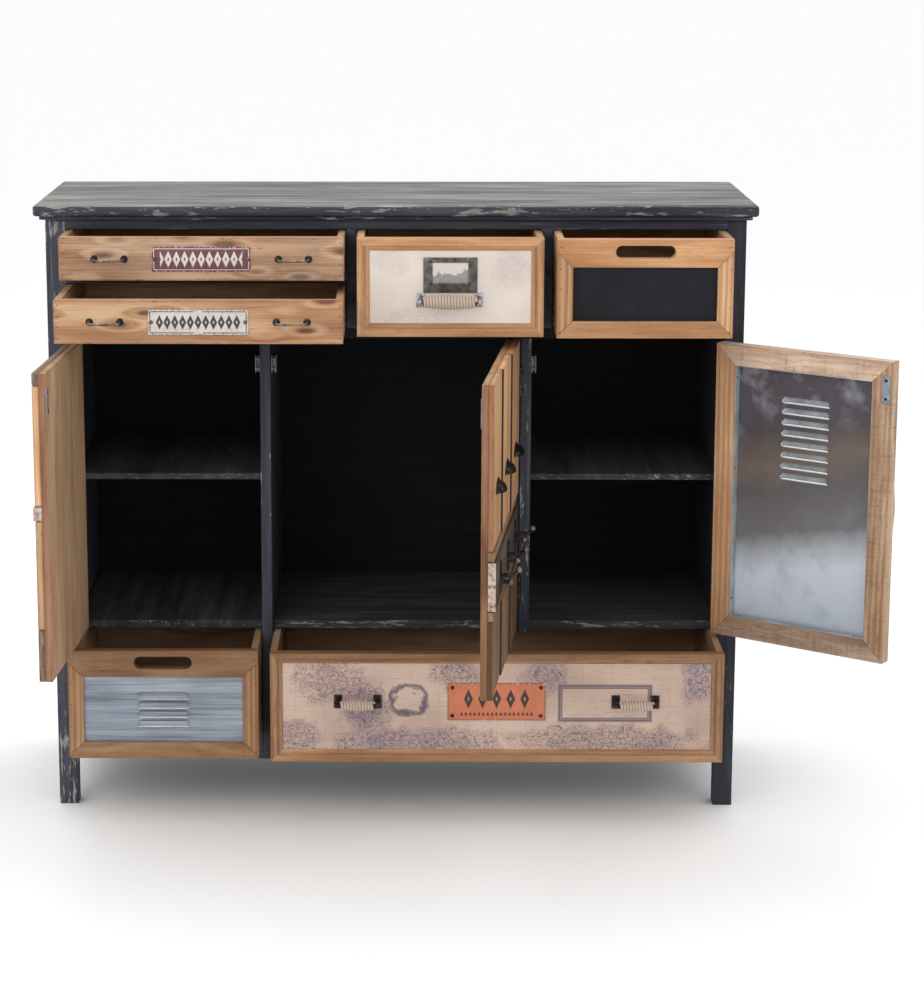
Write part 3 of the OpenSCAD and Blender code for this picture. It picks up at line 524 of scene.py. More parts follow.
# ---- Louvred zinc ----
# Thin galvanised sheet. Each louvre is slit along its lower edge and pressed out into a hood
# with rounded ends.
def louvred_sheet(bm, low, high, y, slots, thick=1.0 * MM):
    """A flat sheet facing -Y between two (x, z) corners, with a slot under each hood. slots holds (x, z of lip, length)."""
    edges = ringed(bm, [(x, y, z) for x, z in ((low[0], low[1]), (high[0], low[1]), (high[0], high[1]), (low[0], high[1]))])
    for x, z, length in slots:
        edges += ringed(bm, [(x + u * length / 2, y, z + 0.4 * MM + w * 9.6 * MM) for u, w in (
            (-1, 0), (1, 0), (0.995, 0.5), (0.97, 0.85), (0.92, 1), (-0.92, 1), (-0.97, 0.85), (-0.995, 0.5))])
    made = filled(bm, edges)
    thicken(bm, made, (0, thick, 0))
    bmesh.ops.recalc_face_normals(bm, faces=bm.faces)


def hood(bm, x, z, y, length, tall, reach, thick=0.9 * MM):
    """One pressed hood: closed along its top, rolled out to a lip at the bottom, rounded at both ends."""
    grid = bmesh.ops.create_grid(bm, x_segments=30, y_segments=9, size=1)["verts"]
    for v in grid:
        u, t = v.co.x, (1 - v.co.y) / 2
        end = max(0.0, 1 - abs(u) ** 14) ** 0.5
        corner = (1 - (1 - min(1.0, t / 0.75)) ** 2) ** 0.5
        v.co = Vector((x + u * length / 2, y - reach * corner * end - 0.2 * MM, z + tall * (1 - t) * (1 - 0.25 * (1 - end))))
    faces = list({f for v in grid for f in v.link_faces})
    bmesh.ops.recalc_face_normals(bm, faces=faces)
    if sum(f.normal.y for f in faces) > 0:
        bmesh.ops.reverse_faces(bm, faces=faces)
    bmesh.ops.solidify(bm, geom=faces + list({e for f in faces for e in f.edges}) + grid, thickness=thick)


zinc_sheet, add = new_material("dull_galvanised_sheet")
place = add("TexCoord", out="Object")
# rolling streaks about 2 mm wide run along the sheet, over a cloudy zinc bloom
streak = add("TexNoise", add("Mapping", place, Scale=(6, 6, 420)), Scale=1.0, Detail=5.0, Roughness=0.7)
cloud = add("TexNoise", add("Mapping", place, Scale=(7, 7, 30)), Scale=1.0, Detail=4.0)
mixed = add("Math ADD", add("Math MULTIPLY", streak, 0.65), add("Math MULTIPLY", cloud, 0.35))
colour = add("ValToRGB", mixed, stops=[(0.3, "#4c535d"), (0.46, "#7f8792"), (0.62, "#a2a9b4")])
rough = add("MapRange", mixed, 0.3, 0.7, 0.55, 0.36)
surface(add, Base_Color=colour, Roughness=rough, Metallic=0.55,
        Normal=add("Bump", Strength=0.2, Distance=0.0002, Height=streak))

low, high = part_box("zinc_drawer_sheet")
face = high.y - 1.0 * MM
middle_x, middle_z, pitch = (low.x + high.x) / 2, (low.z + high.z) / 2, 16 * MM
bm = bmesh.new()
spots = [(middle_x, middle_z + (i - 1.5) * pitch - 5.5 * MM, 82 * MM) for i in range(4)]
louvred_sheet(bm, (low.x, low.z), (high.x, high.z), face, spots)
for x, z, length in spots:
    hood(bm, x, z + 0.4 * MM, face, 86 * MM, 10.5 * MM, 4.8 * MM)
zinc_piece = bm


# ---- Moulded frames of the map and wide drawers ----
# Picture-frame moulding in waxed pine: a flat outer band, a quirk, and a hollow that falls to the print.
def moulding(bm, a, b, cuts, side, depth, tone):
    """One mitred length of moulding between two corners, its profile falling towards the opening."""
    before = set(bm.faces)
    flat = side in ("top", "bottom")
    width = (b.z - a.z) if flat else (b.x - a.x)
    # distance from the outer edge and depth behind the face, millimetres
    shape = [(0.0, 0.9), (0.9, 0.0), (width / MM - 8.6, 0.0), (width / MM - 8.0, 1.6), (width / MM - 6.9, 1.6),
             (width / MM - 6.3, 1.0), (width / MM - 1.2, 3.4), (width / MM - 0.4, 4.2), (width / MM, 5.2)]
    loop = []
    for out, deep in shape + [(width / MM, depth / MM), (0.0, depth / MM)]:
        across, y = out * MM, a.y + deep * MM
        spot = {"bottom": (a.x, y, a.z + across), "top": (a.x, y, b.z - across),
                "left": (a.x + across, y, a.z), "right": (b.x - across, y, a.z)}[side]
        loop.append(bm.verts.new(spot))
    end = bm.faces.new(loop)
    thicken(bm, [end], (b.x - a.x, 0, 0) if flat else (0, 0, b.z - a.z))
    bmesh.ops.recalc_face_normals(bm, faces=since(bm, before))
    sliced(bm, before, cuts)
    dress(bm, since(bm, before), "x" if flat else "z", 0, tone)


for name, sides, tones in (
        ("map", (21 * MM, 21 * MM, 22 * MM), ((1.32, 0, 0.2), (1.12, 0, 0.3), (1.2, 0.05, 0.35), (1.0, 0, 0.25))),
        ("wide", (21 * MM, 18 * MM, 21 * MM), ((0.68, 0.1, 0.4), (0.92, 0, 0.35), (0.72, 0.1, 0.45), (0.72, 0.1, 0.45)))):
    low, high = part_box(name + "_drawer_frame")
    bm = bmesh.new()
    for side, tone in zip(("top", "bottom", "left", "right"), tones):
        a, b, cuts = mitre(low, high, side, sides)
        moulding(bm, a, b, cuts, side, FRONT, tone)
    piece(bm, name + "_drawer_moulding", name + "_drawer", waxed, [name + "_drawer_frame"])


# ---- Printed panels ----
# Ivory paper printed with an invented antique chart in violet-brown ink, pasted on board and varnished.
def chart_print(name, paper, shade, ink, rose, strength, masses, boxes):
    """Places are metres from the panel's middle. masses holds (x, z, half width, half height) of the engraved land;
    boxes holds (x, z, half width, half height, ornate) of the printed frames."""
    material, add = new_material(name)
    place = add("Attribute", out="Vector", attribute_name="grain")
    parts = add("SeparateXYZ", place)
    x, z = parts, parts.node.outputs[1]
    coarse = add("TexNoise", place, Scale=34.0, Detail=8.0, Roughness=0.62)
    tide = add("TexNoise", place, Scale=7.0, Detail=3.0)
    near = None
    for mass_x, mass_z, half_x, half_z in masses:
        spot = add("Mapping", place, Location=(-mass_x / half_x, -mass_z / half_z, 0), Scale=(1 / half_x, 1 / half_z, 0))
        spot = add("VectorMath LENGTH", spot, out="Value")
        near = spot if near is None else add("Math MINIMUM", near, spot)
    shore = add("Math ADD", near, add("Math MULTIPLY", coarse, 2.2))
    # engraved coast with two echoes out at sea, and stipple 3 mm across inland
    inked = None
    for level, weight in ((2.1, 1.0), (2.22, 0.6), (2.36, 0.4), (1.8, 0.7)):
        line = add("Math MULTIPLY", add("Math COMPARE", shore, level, 0.022), weight)
        inked = line if inked is None else add("Math MAXIMUM", inked, line)
    inland = add("MapRange", shore, 2.1, 1.85)
    pull = add("VectorMath MULTIPLY", add("TexNoise", place, Scale=70.0, Detail=4.0, out="Color"), (0.022,) * 3)
    winding = add("VectorMath ADD", place, pull)
    for scale, width, weight in ((105.0, 0.06, 0.9), (250.0, 0.12, 0.6)):
        river = add("TexVoronoi", winding, Scale=scale, out="Distance", feature="DISTANCE_TO_EDGE")
        river = add("MapRange", river, width, width * 0.4, 0.0, weight)
        inked = add("Math MAXIMUM", inked, add("Math MULTIPLY", river, inland))
    # broken ruled lines 3.4 mm apart and a graticule every 48 mm
    rules = add("Math FRACT", add("Math MULTIPLY", z, 1 / (3.4 * MM)))
    rules = add("Math LESS_THAN", rules, 0.22)
    gaps = add("TexNoise", add("Mapping", place, Scale=(26, 250, 1)), Scale=1.0, Detail=5.0, Roughness=0.8)
    gaps = add("MapRange", gaps, 0.54, 0.58, 0.0, 0.75)
    rules = add("Math MULTIPLY", rules, gaps)
    grid = None
    for axis in (x, z):
        cell = add("Math FRACT", add("Math MULTIPLY", axis, 1 / (48 * MM)))
        cell = add("Math LESS_THAN", cell, 0.012)
        grid = cell if grid is None else add("Math MAXIMUM", grid, cell)
    tint = add("ValToRGB", tide, stops=[(0.36, shade), (0.58, paper)])
    wash = add("MapRange", shore, 2.5, 1.7, 0.0, 0.3)
    hue = add("ValToRGB", tide, stops=[(0.4, "#8d86a5"), (0.55, rose)])
    tint = add("MixRGB", add("Math MULTIPLY", wash, strength), tint, hue)
    tint = add("MixRGB", add("Math MULTIPLY", rules, strength * 0.8), tint, linear("#8c5f5c"))
    inked = add("Math MAXIMUM", inked, add("Math MULTIPLY", grid, 0.35))
    for box_x, box_z, half_x, half_z, ornate in boxes:
        dx = add("Math ABSOLUTE", add("Math SUBTRACT", x, box_x))
        dz = add("Math ABSOLUTE", add("Math SUBTRACT", z, box_z))
        if ornate:  # a scrolled rim: a rounded square whose edge is wavy
            dx = add("Math POWER", add("Math MULTIPLY", dx, 1 / half_x), 3.0)
            dz = add("Math POWER", add("Math MULTIPLY", dz, 1 / half_z), 3.0)
            reach = add("Math ADD", dx, dz)
            wave = add("TexNoise", place, Scale=75.0, Detail=2.0)
            reach = add("Math ADD", reach, add("Math MULTIPLY", wave, 1.4))
            inside, rim, turns = 1.05, 1.85, 1.6
        else:
            dx = add("Math SUBTRACT", dx, half_x)
            dz = add("Math SUBTRACT", dz, half_z)
            reach = add("Math MAXIMUM", dx, dz)
            inside, rim, turns = -8 * MM, 0.0, 1 / (4.4 * MM)
        stripes = add("Math FRACT", add("Math MULTIPLY", reach, turns))
        stripes = add("MapRange", stripes, 0.35, 0.6, 0.95, 0.6)
        within = add("Math LESS_THAN", reach, rim)
        centre = add("Math LESS_THAN", reach, inside)
        inset = add("Math LESS_THAN", reach, 0.95 if ornate else -10 * MM)
        notes = add("Math MULTIPLY", add("Math MULTIPLY", rules, inset), 0.9)
        inked = add("MixRGB", within, inked, stripes)
        inked = add("MixRGB", centre, inked, notes)
    colour = add("MixRGB", add("Math MULTIPLY", inked, strength), tint, linear(ink))
    surface(add, Base_Color=colour, Roughness=0.55, Specular_IOR_Level=0.25,
            Normal=add("Bump", Strength=0.08, Distance=0.0002, Height=add("TexNoise", place, Scale=420.0, Detail=2.0)))
    return material


MASSES = [(-0.277, 0.044, 0.048, 0.034), (-0.335, -0.053, 0.032, 0.030), (-0.219, -0.002, 0.036, 0.040), (-0.137, -0.062, 0.120, 0.022),
          (0.178, -0.060, 0.130, 0.024), (0.081, 0.049, 0.030, 0.024), (0.337, 0.044, 0.026, 0.032), (-0.069, 0.059, 0.032, 0.026)]
for name, material in (
        ("map", chart_print("ivory_chart_print", "#d8cdc4", "#cfc3b8", "#9b9090", "#cfb8ac", 0.35,
                            [(-0.095, 0.045, 0.028, 0.020), (0.100, 0.030, 0.026, 0.026), (-0.06, -0.05, 0.05, 0.012)], [])),
        ("wide", chart_print("antique_chart_print", "#c3ab9b", "#ae9587", "#51465a", "#b08c84", 0.92, MASSES,
                             [(-0.147, 0.011, 0.032, 0.027, True), (0.181, 0.006, 0.079, 0.033, False)]))):
    low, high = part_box(name + "_drawer_panel")
    bm = bmesh.new()
    middle = (low + high) / 2
    plank(bm, low, high, "x", 0.2 * MM, 0, (1, 0, 0), origin=middle)
    layer = layers(bm, "float_vector", "grain")
    for v in bm.verts:
        v[layer] = Vector((v.co.x - middle.x, v.co.z - middle.z, 0))
    piece(bm, name + "_drawer_print", name + "_drawer", material, [name + "_drawer_panel"])

# ---- Small iron parts ----
# Cast and bent iron, blackened and waxed, rubbed to grey metal on its edges; its screws and
# rivets are of the same iron.
def tube(bm, path, radius, sides=12):
    """A round bar along a path, with one radius or one per point. Returns its faces."""
    before = set(bm.faces)
    path = [Vector(p) for p in path]
    radii = list(radius) if isinstance(radius, (list, tuple)) else [radius] * len(path)
    old = None
    for i, spot in enumerate(path):
        ahead = (path[min(i + 1, len(path) - 1)] - path[max(i - 1, 0)]).normalized()
        up = ahead.orthogonal().normalized() if old is None else (old[1] - ahead * old[1].dot(ahead)).normalized()
        side = ahead.cross(up)
        if old is None:
            ring = bmesh.ops.create_circle(bm, cap_ends=True, segments=sides, radius=1)["verts"]
            edges = list({e for v in ring for e in v.link_edges})
            for v in ring:
                v.co = spot + (up * v.co.x + side * v.co.y) * radii[0]
        else:
            made = bmesh.ops.extrude_edge_only(bm, edges=edges)["geom"]
            edges = [g for g in made if isinstance(g, bmesh.types.BMEdge)]
            for v in (g for g in made if isinstance(g, bmesh.types.BMVert)):
                flat = (v.co - old[0]) / old[3]
                v.co = spot + (up * flat.dot(old[1]) + side * flat.dot(old[2])) * radii[i]
        old = (spot, up, side, radii[i])
    bmesh.ops.edgeloop_fill(bm, edges=edges)
    faces = since(bm, before)
    bmesh.ops.recalc_face_normals(bm, faces=faces)
    return faces


def bend(points, radius, steps=5):
    """Rounds the inner corners of a path."""
    points = [Vector(p) for p in points]
    path = [points[0]]
    for a, b, c in zip(points, points[1:], points[2:]):
        start, end = b + (a - b).normalized() * radius, b + (c - b).normalized() * radius
        path += [start.lerp(b, t).lerp(b.lerp(end, t), t) for t in (s / steps for s in range(steps + 1))]
    return path + [points[-1]]


def dome(bm, x, y, z, radius, tall, slotted=False):
    """A round screw or rivet head on a face that looks towards -Y."""
    tube(bm, [(x, y + 0.3 * MM, z), (x, y, z), (x, y - tall * 0.55, z), (x, y - tall * 0.9, z), (x, y - tall, z)],
         [radius, radius, radius * 0.86, radius * 0.5, radius * 0.2])
    if slotted:
        plank(bm, (x - radius * 0.75, y - tall * 1.04, z - 0.25 * MM), (x + radius * 0.75, y - tall * 0.7, z + 0.25 * MM),
              ease=0, band=0)


def metal(name, deep, pale, metallic, rough, scale, wear):
    """Metal clouded by a patina, its colour and gloss running between two values over spots of 1/scale metres."""
    material, add = new_material(name)
    place = add("TexCoord", out="Object")
    cloud = add("TexNoise", place, Scale=scale, Detail=6.0, Roughness=0.65)
    colour = add("ValToRGB", cloud, stops=[(wear[0], deep), (wear[1], pale)])
    gloss = add("MapRange", cloud, wear[0], wear[1], rough[0], rough[1])
    tooth = add("TexNoise", place, Scale=700.0, Detail=2.0)
    surface(add, Base_Color=colour, Roughness=gloss, Metallic=metallic,
            Normal=add("Bump", Strength=0.2, Distance=0.0002, Height=tooth))
    return material


iron = metal("waxed_black_iron", "#1a1615", "#5b534c", 0.75, (0.5, 0.34), 160.0, (0.45, 0.72))
bright_iron = metal("rubbed_iron_wire", "#4a3f36", "#9b9184", 0.8, (0.42, 0.3), 120.0, (0.38, 0.66))
pewter = metal("dark_pewter", "#413f3d", "#77736e", 0.6, (0.5, 0.38), 70.0, (0.38, 0.68))
nickel = metal("worn_nickel_plate", "#77727a", "#c3bec3", 0.75, (0.42, 0.28), 120.0, (0.38, 0.6))

for node_name in ("post_hinge_leaves", "shelf_pins"):
    piece(from_cad(node_name, 0.3 * MM, 0, along="z"), node_name + "_eased", "carcass", iron, [node_name])

low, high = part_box("door_catches")
bm = bmesh.new()
for x in ((-227.75 - 9) * MM, (-210.25) * MM, 227.75 * MM):
    plank(bm, (x + 2 * MM, low.y + 6 * MM, low.z + 2 * MM), (x + 7 * MM, high.y, high.z - 2 * MM), "y", 0.8 * MM, 0)
    for side in (0, 6.8 * MM):
        plank(bm, (x + side, low.y, low.z), (x + side + 2.2 * MM, high.y - 4 * MM, high.z), "y", 0.6 * MM, 0)
    for z in (low.z + 7 * MM, high.z - 7 * MM):
        tube(bm, [(x + 1 * MM, low.y + 3.2 * MM, z), (x + 8 * MM, low.y + 3.2 * MM, z)], 2.6 * MM)
catch_metal = metal("zinc_plated_catch", "#5c6063", "#8b8f92", 0.5, (0.5, 0.38), 90.0, (0.4, 0.65))
piece(bm, "door_catch_bodies", "carcass", catch_metal, ["door_catches"])


# ---- Louvre lips ----
# The edge of each louvre is rolled, and the roll is coloured near white as a painted highlight.
lip_painted_highlight_metal = metal("sheet_edge_painted_highlight", "#b9bec4", "#dde1e6", 0.5, (0.4, 0.3), 60.0, (0.35, 0.65))
for x, z, length in spots:
    out = face - 4.9 * MM
    curl = [(x - 41 * MM, face, z + 4 * MM), (x - 43.2 * MM, face - 2.4 * MM, z + 1.5 * MM), (x - 41 * MM, out, z + 0.3 * MM),
            (x + 41 * MM, out, z + 0.3 * MM), (x + 43.2 * MM, face - 2.4 * MM, z + 1.5 * MM), (x + 41 * MM, face, z + 4 * MM)]
    coat(tube(zinc_piece, bend(curl, 1.6 * MM, 3), 0.8 * MM, 8), 1)
piece(zinc_piece, "zinc_drawer_louvred_sheet", "zinc_drawer", [zinc_sheet, lip_painted_highlight_metal], ["zinc_drawer_sheet"],
      smooth=50)


# ---- Wire pulls ----
# Bent rod with a slight bow, screwed through round iron rosettes.
def wire_pull(bm, place, length, out, radius, foot):
    """A pull on a face at y = 0 that looks towards -Y. place puts it on its face."""
    before = set(bm.verts)
    half = length / 2
    bowed = [(-half, 0, 0), (-half, -out + 1 * MM, 0), (0, -out - 1.2 * MM, -0.6 * MM), (half, -out + 1 * MM, 0), (half, 0, 0)]
    tube(bm, bend(bowed, 6 * MM), radius)
    feet = []
    for s in (-half, half):
        feet += tube(bm, [(s, 0.3 * MM, 0), (s, 0, 0), (s, -1.6 * MM, 0), (s, -2.2 * MM, 0), (s, -4.2 * MM, 0), (s, -4.6 * MM, 0)],
                     [foot, foot, foot * 0.93, foot * 0.62, foot * 0.55, foot * 0.4], 20)
    bmesh.ops.transform(bm, matrix=place, verts=[v for v in bm.verts if v not in before])
    coat(feet, 1)


for name in ("upper", "lower"):
    low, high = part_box(name + "_drawer_front")
    bm = bmesh.new()
    for s in (-150, 150):
        spot = ((low.x + high.x) / 2 + s * MM, low.y, (low.z + high.z) / 2)
        wire_pull(bm, Matrix.Translation(spot), 49 * MM, 24 * MM, 1.9 * MM, 6.2 * MM)
    piece(bm, name + "_drawer_wire_pulls", name + "_drawer", [bright_iron, iron], [name + "_drawer_pulls"])


# ---- Tin plates ----
# Enamelled tin with a printed rim and a row of lozenges, chipped at the edges and riveted on.
def plate(bm, low, high, ease, segments=2):
    """A thin plate whose grain holds (x, z) from its middle, for its print."""
    middle = (low + high) / 2
    faces = plank(bm, low, high, "x", ease, 0, segments=segments)
    layer = layers(bm, "float_vector", "grain")
    for v in {v for f in faces for v in f.verts}:
        v[layer] = Vector((v.co.x - middle.x, v.co.z - middle.z, v.co.y - middle.y))
    return faces


def enamel(name, ground, mark, chip, half, rim, rows, gap=0.0, wear=0.62):
    """Enamelled tin. half is (x, z) half sizes, rim (distance in, width), rows (z, pitch, half length, half height, full width)."""
    material, add = new_material(name)
    place = add("Attribute", out="Vector", attribute_name="grain")
    parts = add("SeparateXYZ", place)
    x, z = parts, parts.node.outputs[1]
    in_x = add("Math SUBTRACT", half[0] - 4 * MM, add("Math ABSOLUTE", x))
    in_z = add("Math SUBTRACT", half[1] - 4 * MM, add("Math ABSOLUTE", z))
    # distance in from a rim with rounded corners
    corner = add("VectorMath LENGTH",
                 add("CombineXYZ", add("Math MAXIMUM", 0.0, add("Math MULTIPLY", in_x, -1.0)),
                     add("Math MAXIMUM", 0.0, add("Math MULTIPLY", in_z, -1.0))), out="Value")
    flat = add("Math MAXIMUM", 0.0, add("Math MINIMUM", in_x, in_z))
    inward = add("Math ADD", add("Math SUBTRACT", 4 * MM, corner), flat)
    line = add("Math COMPARE", inward, rim[0], rim[1] / 2)
    if gap:
        line = add("Math MULTIPLY", line, add("Math GREATER_THAN", add("Math ABSOLUTE", x), gap))
    printed = line
    for row_z, pitch, half_long, half_tall, reach in rows:
        cell = add("Math ADD", add("Math MULTIPLY", x, 1 / pitch), 0.5)
        cell = add("Math ABSOLUTE", add("Math SUBTRACT", add("Math FRACT", cell), 0.5))
        across = add("Math MULTIPLY", cell, pitch / half_long)
        tall = add("Math ABSOLUTE", add("Math SUBTRACT", z, row_z))
        tall = add("Math MULTIPLY", tall, 1 / half_tall)
        shape = add("Math ADD", across, tall)
        solid = add("Math LESS_THAN", shape, 1.0)
        hole = add("Math GREATER_THAN", shape, 0.26)
        shape = add("Math MULTIPLY", solid, hole)
        shape = add("Math MULTIPLY", shape, add("Math LESS_THAN", add("Math ABSOLUTE", x), reach))
        printed = add("Math MAXIMUM", printed, shape)
    tint = add("TexNoise", place, Scale=38.0, Detail=5.0, Roughness=0.7)
    base = add("ValToRGB", tint, stops=[(0.3, ground[0]), (0.7, ground[1])])
    colour = add("MixRGB", printed, base, linear(mark))
    flake = add("TexNoise", place, Scale=210.0, Detail=5.0, Roughness=0.7)
    rimward = add("MapRange", inward, 0.0, 3 * MM, 0.16, 0.0)
    flake = add("Math ADD", flake, rimward)
    flake = add("MapRange", flake, wear, wear + 0.03, 0.0, 0.9)
    colour = add("MixRGB", flake, colour, linear(chip))
    raised = add("Math SUBTRACT", printed, flake)
    surface(add, Base_Color=colour, Roughness=0.42, Normal=add("Bump", Strength=0.5, Distance=0.0005, Height=raised))
    return material


tins = {
    "upper": enamel("maroon_enamelled_tin", ("#5d3038", "#74434b"), "#d9cfc4", "#b9a89b", (80.5 * MM, 20.5 * MM), (3.4 * MM, 1.2 * MM),
                    [(0.0, 13.4 * MM, 6.2 * MM, 13.5 * MM, 67 * MM)]),
    "lower": enamel("white_enamelled_tin", ("#b9b2ac", "#cfcac4"), "#3a3230", "#7d7168", (80.5 * MM, 20.5 * MM), (3.4 * MM, 1.4 * MM),
                    [(0.0, 12.4 * MM, 5.8 * MM, 12 * MM, 68 * MM)], gap=7 * MM)}
rivet_red = metal("rusty_rivet", "#5c2f2a", "#8d6258", 0.4, (0.6, 0.45), 200.0, (0.4, 0.65))
for name, rivet, slot_name in (("upper", pewter, "maroon_tin"), ("lower", rivet_red, "white_tin")):
    low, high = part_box(name + "_drawer_front")
    middle = Vector(((low.x + high.x) / 2, low.y, (low.z + high.z) / 2))
    bm = bmesh.new()
    plate(bm, middle + Vector((-80.5, -1.2, -20.5)) * MM, middle + Vector((80.5, 0, 20.5)) * MM, 0.5 * MM)
    for s in (-75.5, 75.5):
        before = set(bm.faces)
        dome(bm, middle.x + s * MM, middle.y - 1.2 * MM, middle.z, 3.5 * MM, 1.9 * MM)
        coat(since(bm, before), 1)
    piece(bm, name + "_drawer_tin_plate", name + "_drawer", [tins[name], rivet], [name + "_drawer_nameplate"])

number_tin = enamel("orange_enamelled_tin", ("#b0603f", "#c27350"), "#33231f", "#c9b5a6", (82 * MM, 32.5 * MM), (1.0 * MM, 0.8 * MM),
                    [(5 * MM, 23.5 * MM, 7.5 * MM, 17 * MM, 58 * MM), (-21.5 * MM, 7.3 * MM, 2.6 * MM, 3.8 * MM, 62 * MM)], wear=0.68)
low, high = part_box("wide_drawer_number_plate")
bm = bmesh.new()
plate(bm, Vector((low.x, high.y - 1.2 * MM, low.z)), high, 0.5 * MM)
before = set(bm.faces)
for x in (low.x + 8 * MM, high.x - 8 * MM):
    for z in (low.z + 8 * MM, high.z - 8 * MM):
        dome(bm, x, high.y - 1.2 * MM, z, 3.5 * MM, 1.5 * MM, True)
coat(since(bm, before), 1)
piece(bm, "wide_drawer_tin_plate", "wide_drawer", [number_tin, iron], ["wide_drawer_number_plate"])


# ---- Label holder ----
# A cast pewter frame with a stepped rim that holds a card with a faint grey landscape.
low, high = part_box("map_drawer_label_holder")
middle = (low + high) / 2
bm = bmesh.new()
plank(bm, (low.x, high.y - 2.2 * MM, low.z), (high.x, high.y, high.z), "x", 0.9 * MM, 0)
plank(bm, (low.x + 8 * MM, high.y - 3.0 * MM, low.z + 6 * MM), (high.x - 8 * MM, high.y, high.z - 3 * MM), "x", 0.7 * MM, 0)
x0, x1, z0, z1 = middle.x - 29 * MM, middle.x + 29 * MM, middle.z - 12.5 * MM, middle.z + 20.5 * MM
for a, b in (((x0 - 4 * MM, z0 - 4 * MM), (x1 + 4 * MM, z0)), ((x0 - 4 * MM, z1), (x1 + 4 * MM, z1 + 4 * MM)),
             ((x0 - 4 * MM, z0 - 4 * MM), (x0, z1 + 4 * MM)), ((x1, z0 - 4 * MM), (x1 + 4 * MM, z1 + 4 * MM))):
    plank(bm, (a[0], low.y - 0.6 * MM, a[1]), (b[0], high.y, b[1]), "x", 1.0 * MM, 0)
for x in (low.x + 4 * MM, high.x - 4 * MM):
    dome(bm, x, high.y - 2.2 * MM, middle.z, 1.8 * MM, 0.9 * MM, True)
piece(bm, "label_holder_frame", "map_drawer", pewter, ["map_drawer_label_holder"])

card, add = new_material("card_with_landscape_sketch")
place = add("Attribute", out="Vector", attribute_name="grain")
parts = add("SeparateXYZ", place)
ridge = add("TexNoise", add("CombineXYZ", parts), Scale=62.0, Detail=4.0)
level = add("Math MULTIPLY", add("Math SUBTRACT", ridge, 0.5), 0.055)
below = add("Math SUBTRACT", parts.node.outputs[1], add("Math ADD", level, -1 * MM))
hill = add("MapRange", below, 0.4 * MM, -0.4 * MM)
stroke = add("TexNoise", add("Mapping", place, Scale=(1400, 240, 1)), Scale=1.0, Detail=4.0)
dark = add("ValToRGB", stroke, stops=[(0.36, "#7d7774"), (0.64, "#a29b95")])
sky = add("ValToRGB", stroke, stops=[(0.3, "#c2b8ae"), (0.65, "#d3c9bf")])
surface(add, Base_Color=add("MixRGB", hill, sky, dark), Roughness=0.5)
bm = bmesh.new()
plate(bm, Vector((x0 - 1 * MM, high.y - 3.3 * MM, z0 - 1 * MM)), Vector((x1 + 1 * MM, high.y - 2.6 * MM, z1 + 1 * MM)), 0.1 * MM)
piece(bm, "label_holder_card", "map_drawer", card)


# ---- Rope grips ----
# A wooden core wound with cotton cord between two iron posts; each post is screwed on with a
# small plate.
cord, add = new_material("waxed_cotton_cord")
# pale on the crest of each winding and dark brown down between them: painted shade in the gaps
crest_lit_gap_shaded = add("Attribute", out="Fac", attribute_name="crest_lit_gap_shaded")
fuzz = add("TexNoise", add("TexCoord", out="Object"), Scale=300.0, Detail=4.0, Roughness=0.6)
shade = add("Math ADD", crest_lit_gap_shaded, add("Math MULTIPLY", fuzz, 0.5))
colour = add("ValToRGB", shade, stops=[(0.35, "#54402e"), (0.75, "#a18873"), (1.0, "#b8a595")])
surface(add, Base_Color=colour, Roughness=0.85, Normal=add("Bump", Strength=0.3, Distance=0.0003, Height=fuzz))
# the core's dark brown shows between the windings as painted shade
core, add = new_material("dark_grip_core")
surface(add, Base_Color=linear("#3d2b20"), Roughness=0.8)


def grip(bm, place, length, r_end, r_mid, out, pitch=4.9 * MM):
    """The wound part of a grip, along X at y = -out, thicker in the middle."""
    before = set(bm.verts)
    half = length / 2 - 4.2 * MM
    girth = lambda x: r_end + (r_mid - r_end) * (1 - (x / half) ** 2)
    steps = [half * (i / 12 * 2 - 1) for i in range(13)]
    coat(tube(bm, [(x, -out, 0) for x in steps], [girth(x) - 2.6 * MM for x in steps], 14), 1)
    turns = (2 * half - 2 * MM) / pitch
    count = int(turns * 14)
    path = []
    for i in range(count + 1):
        x, turn = -half + 1.2 * MM + (2 * half - 2.4 * MM) * i / count, 2 * math.pi * turns * i / count
        r = girth(x) - 2.4 * MM
        path.append((x, -out + r * math.cos(turn), r * math.sin(turn)))
    faces = tube(bm, path, 2.5 * MM, 9)
    # how far out each point of the cord lies, from which its colour paints shade into the gaps
    layer = layers(bm, "float", "crest_lit_gap_shaded")
    for v in {v for f in faces for v in f.verts}:
        v[layer] = (math.hypot(v.co.y + out, v.co.z) - girth(v.co.x) + 3.4 * MM) / (3.4 * MM)
    bmesh.ops.transform(bm, matrix=place, verts=[v for v in bm.verts if v not in before])


def brackets(bm, place, length, out):
    """The two screwed plates of a grip with their posts and ball ends."""
    before = set(bm.verts)
    for s in (-length / 2, length / 2):
        plank(bm, (s - 7 * MM, -2 * MM, -11.5 * MM), (s + 7 * MM, 0.3 * MM, 11.5 * MM), "z", 0.8 * MM, 0)
        for z in (-8 * MM, 8 * MM):
            dome(bm, s, -2 * MM, z, 2.3 * MM, 1.0 * MM, True)
        tube(bm, [(s, 0, 0), (s, -2 * MM, 0), (s, -3.4 * MM, 0), (s, -6 * MM, 0), (s, -out, 0)],
             [5 * MM, 5 * MM, 4.2 * MM, 3 * MM, 3 * MM], 14)
        ball = [(s, -out + 4.5 * MM * math.cos(t), 0) for t in (math.pi * k / 8 for k in range(9))]
        tube(bm, ball, [max(0.4 * MM, 4.5 * MM * math.sin(math.pi * k / 8)) for k in range(9)], 14)
    bmesh.ops.transform(bm, matrix=place, verts=[v for v in bm.verts if v not in before])


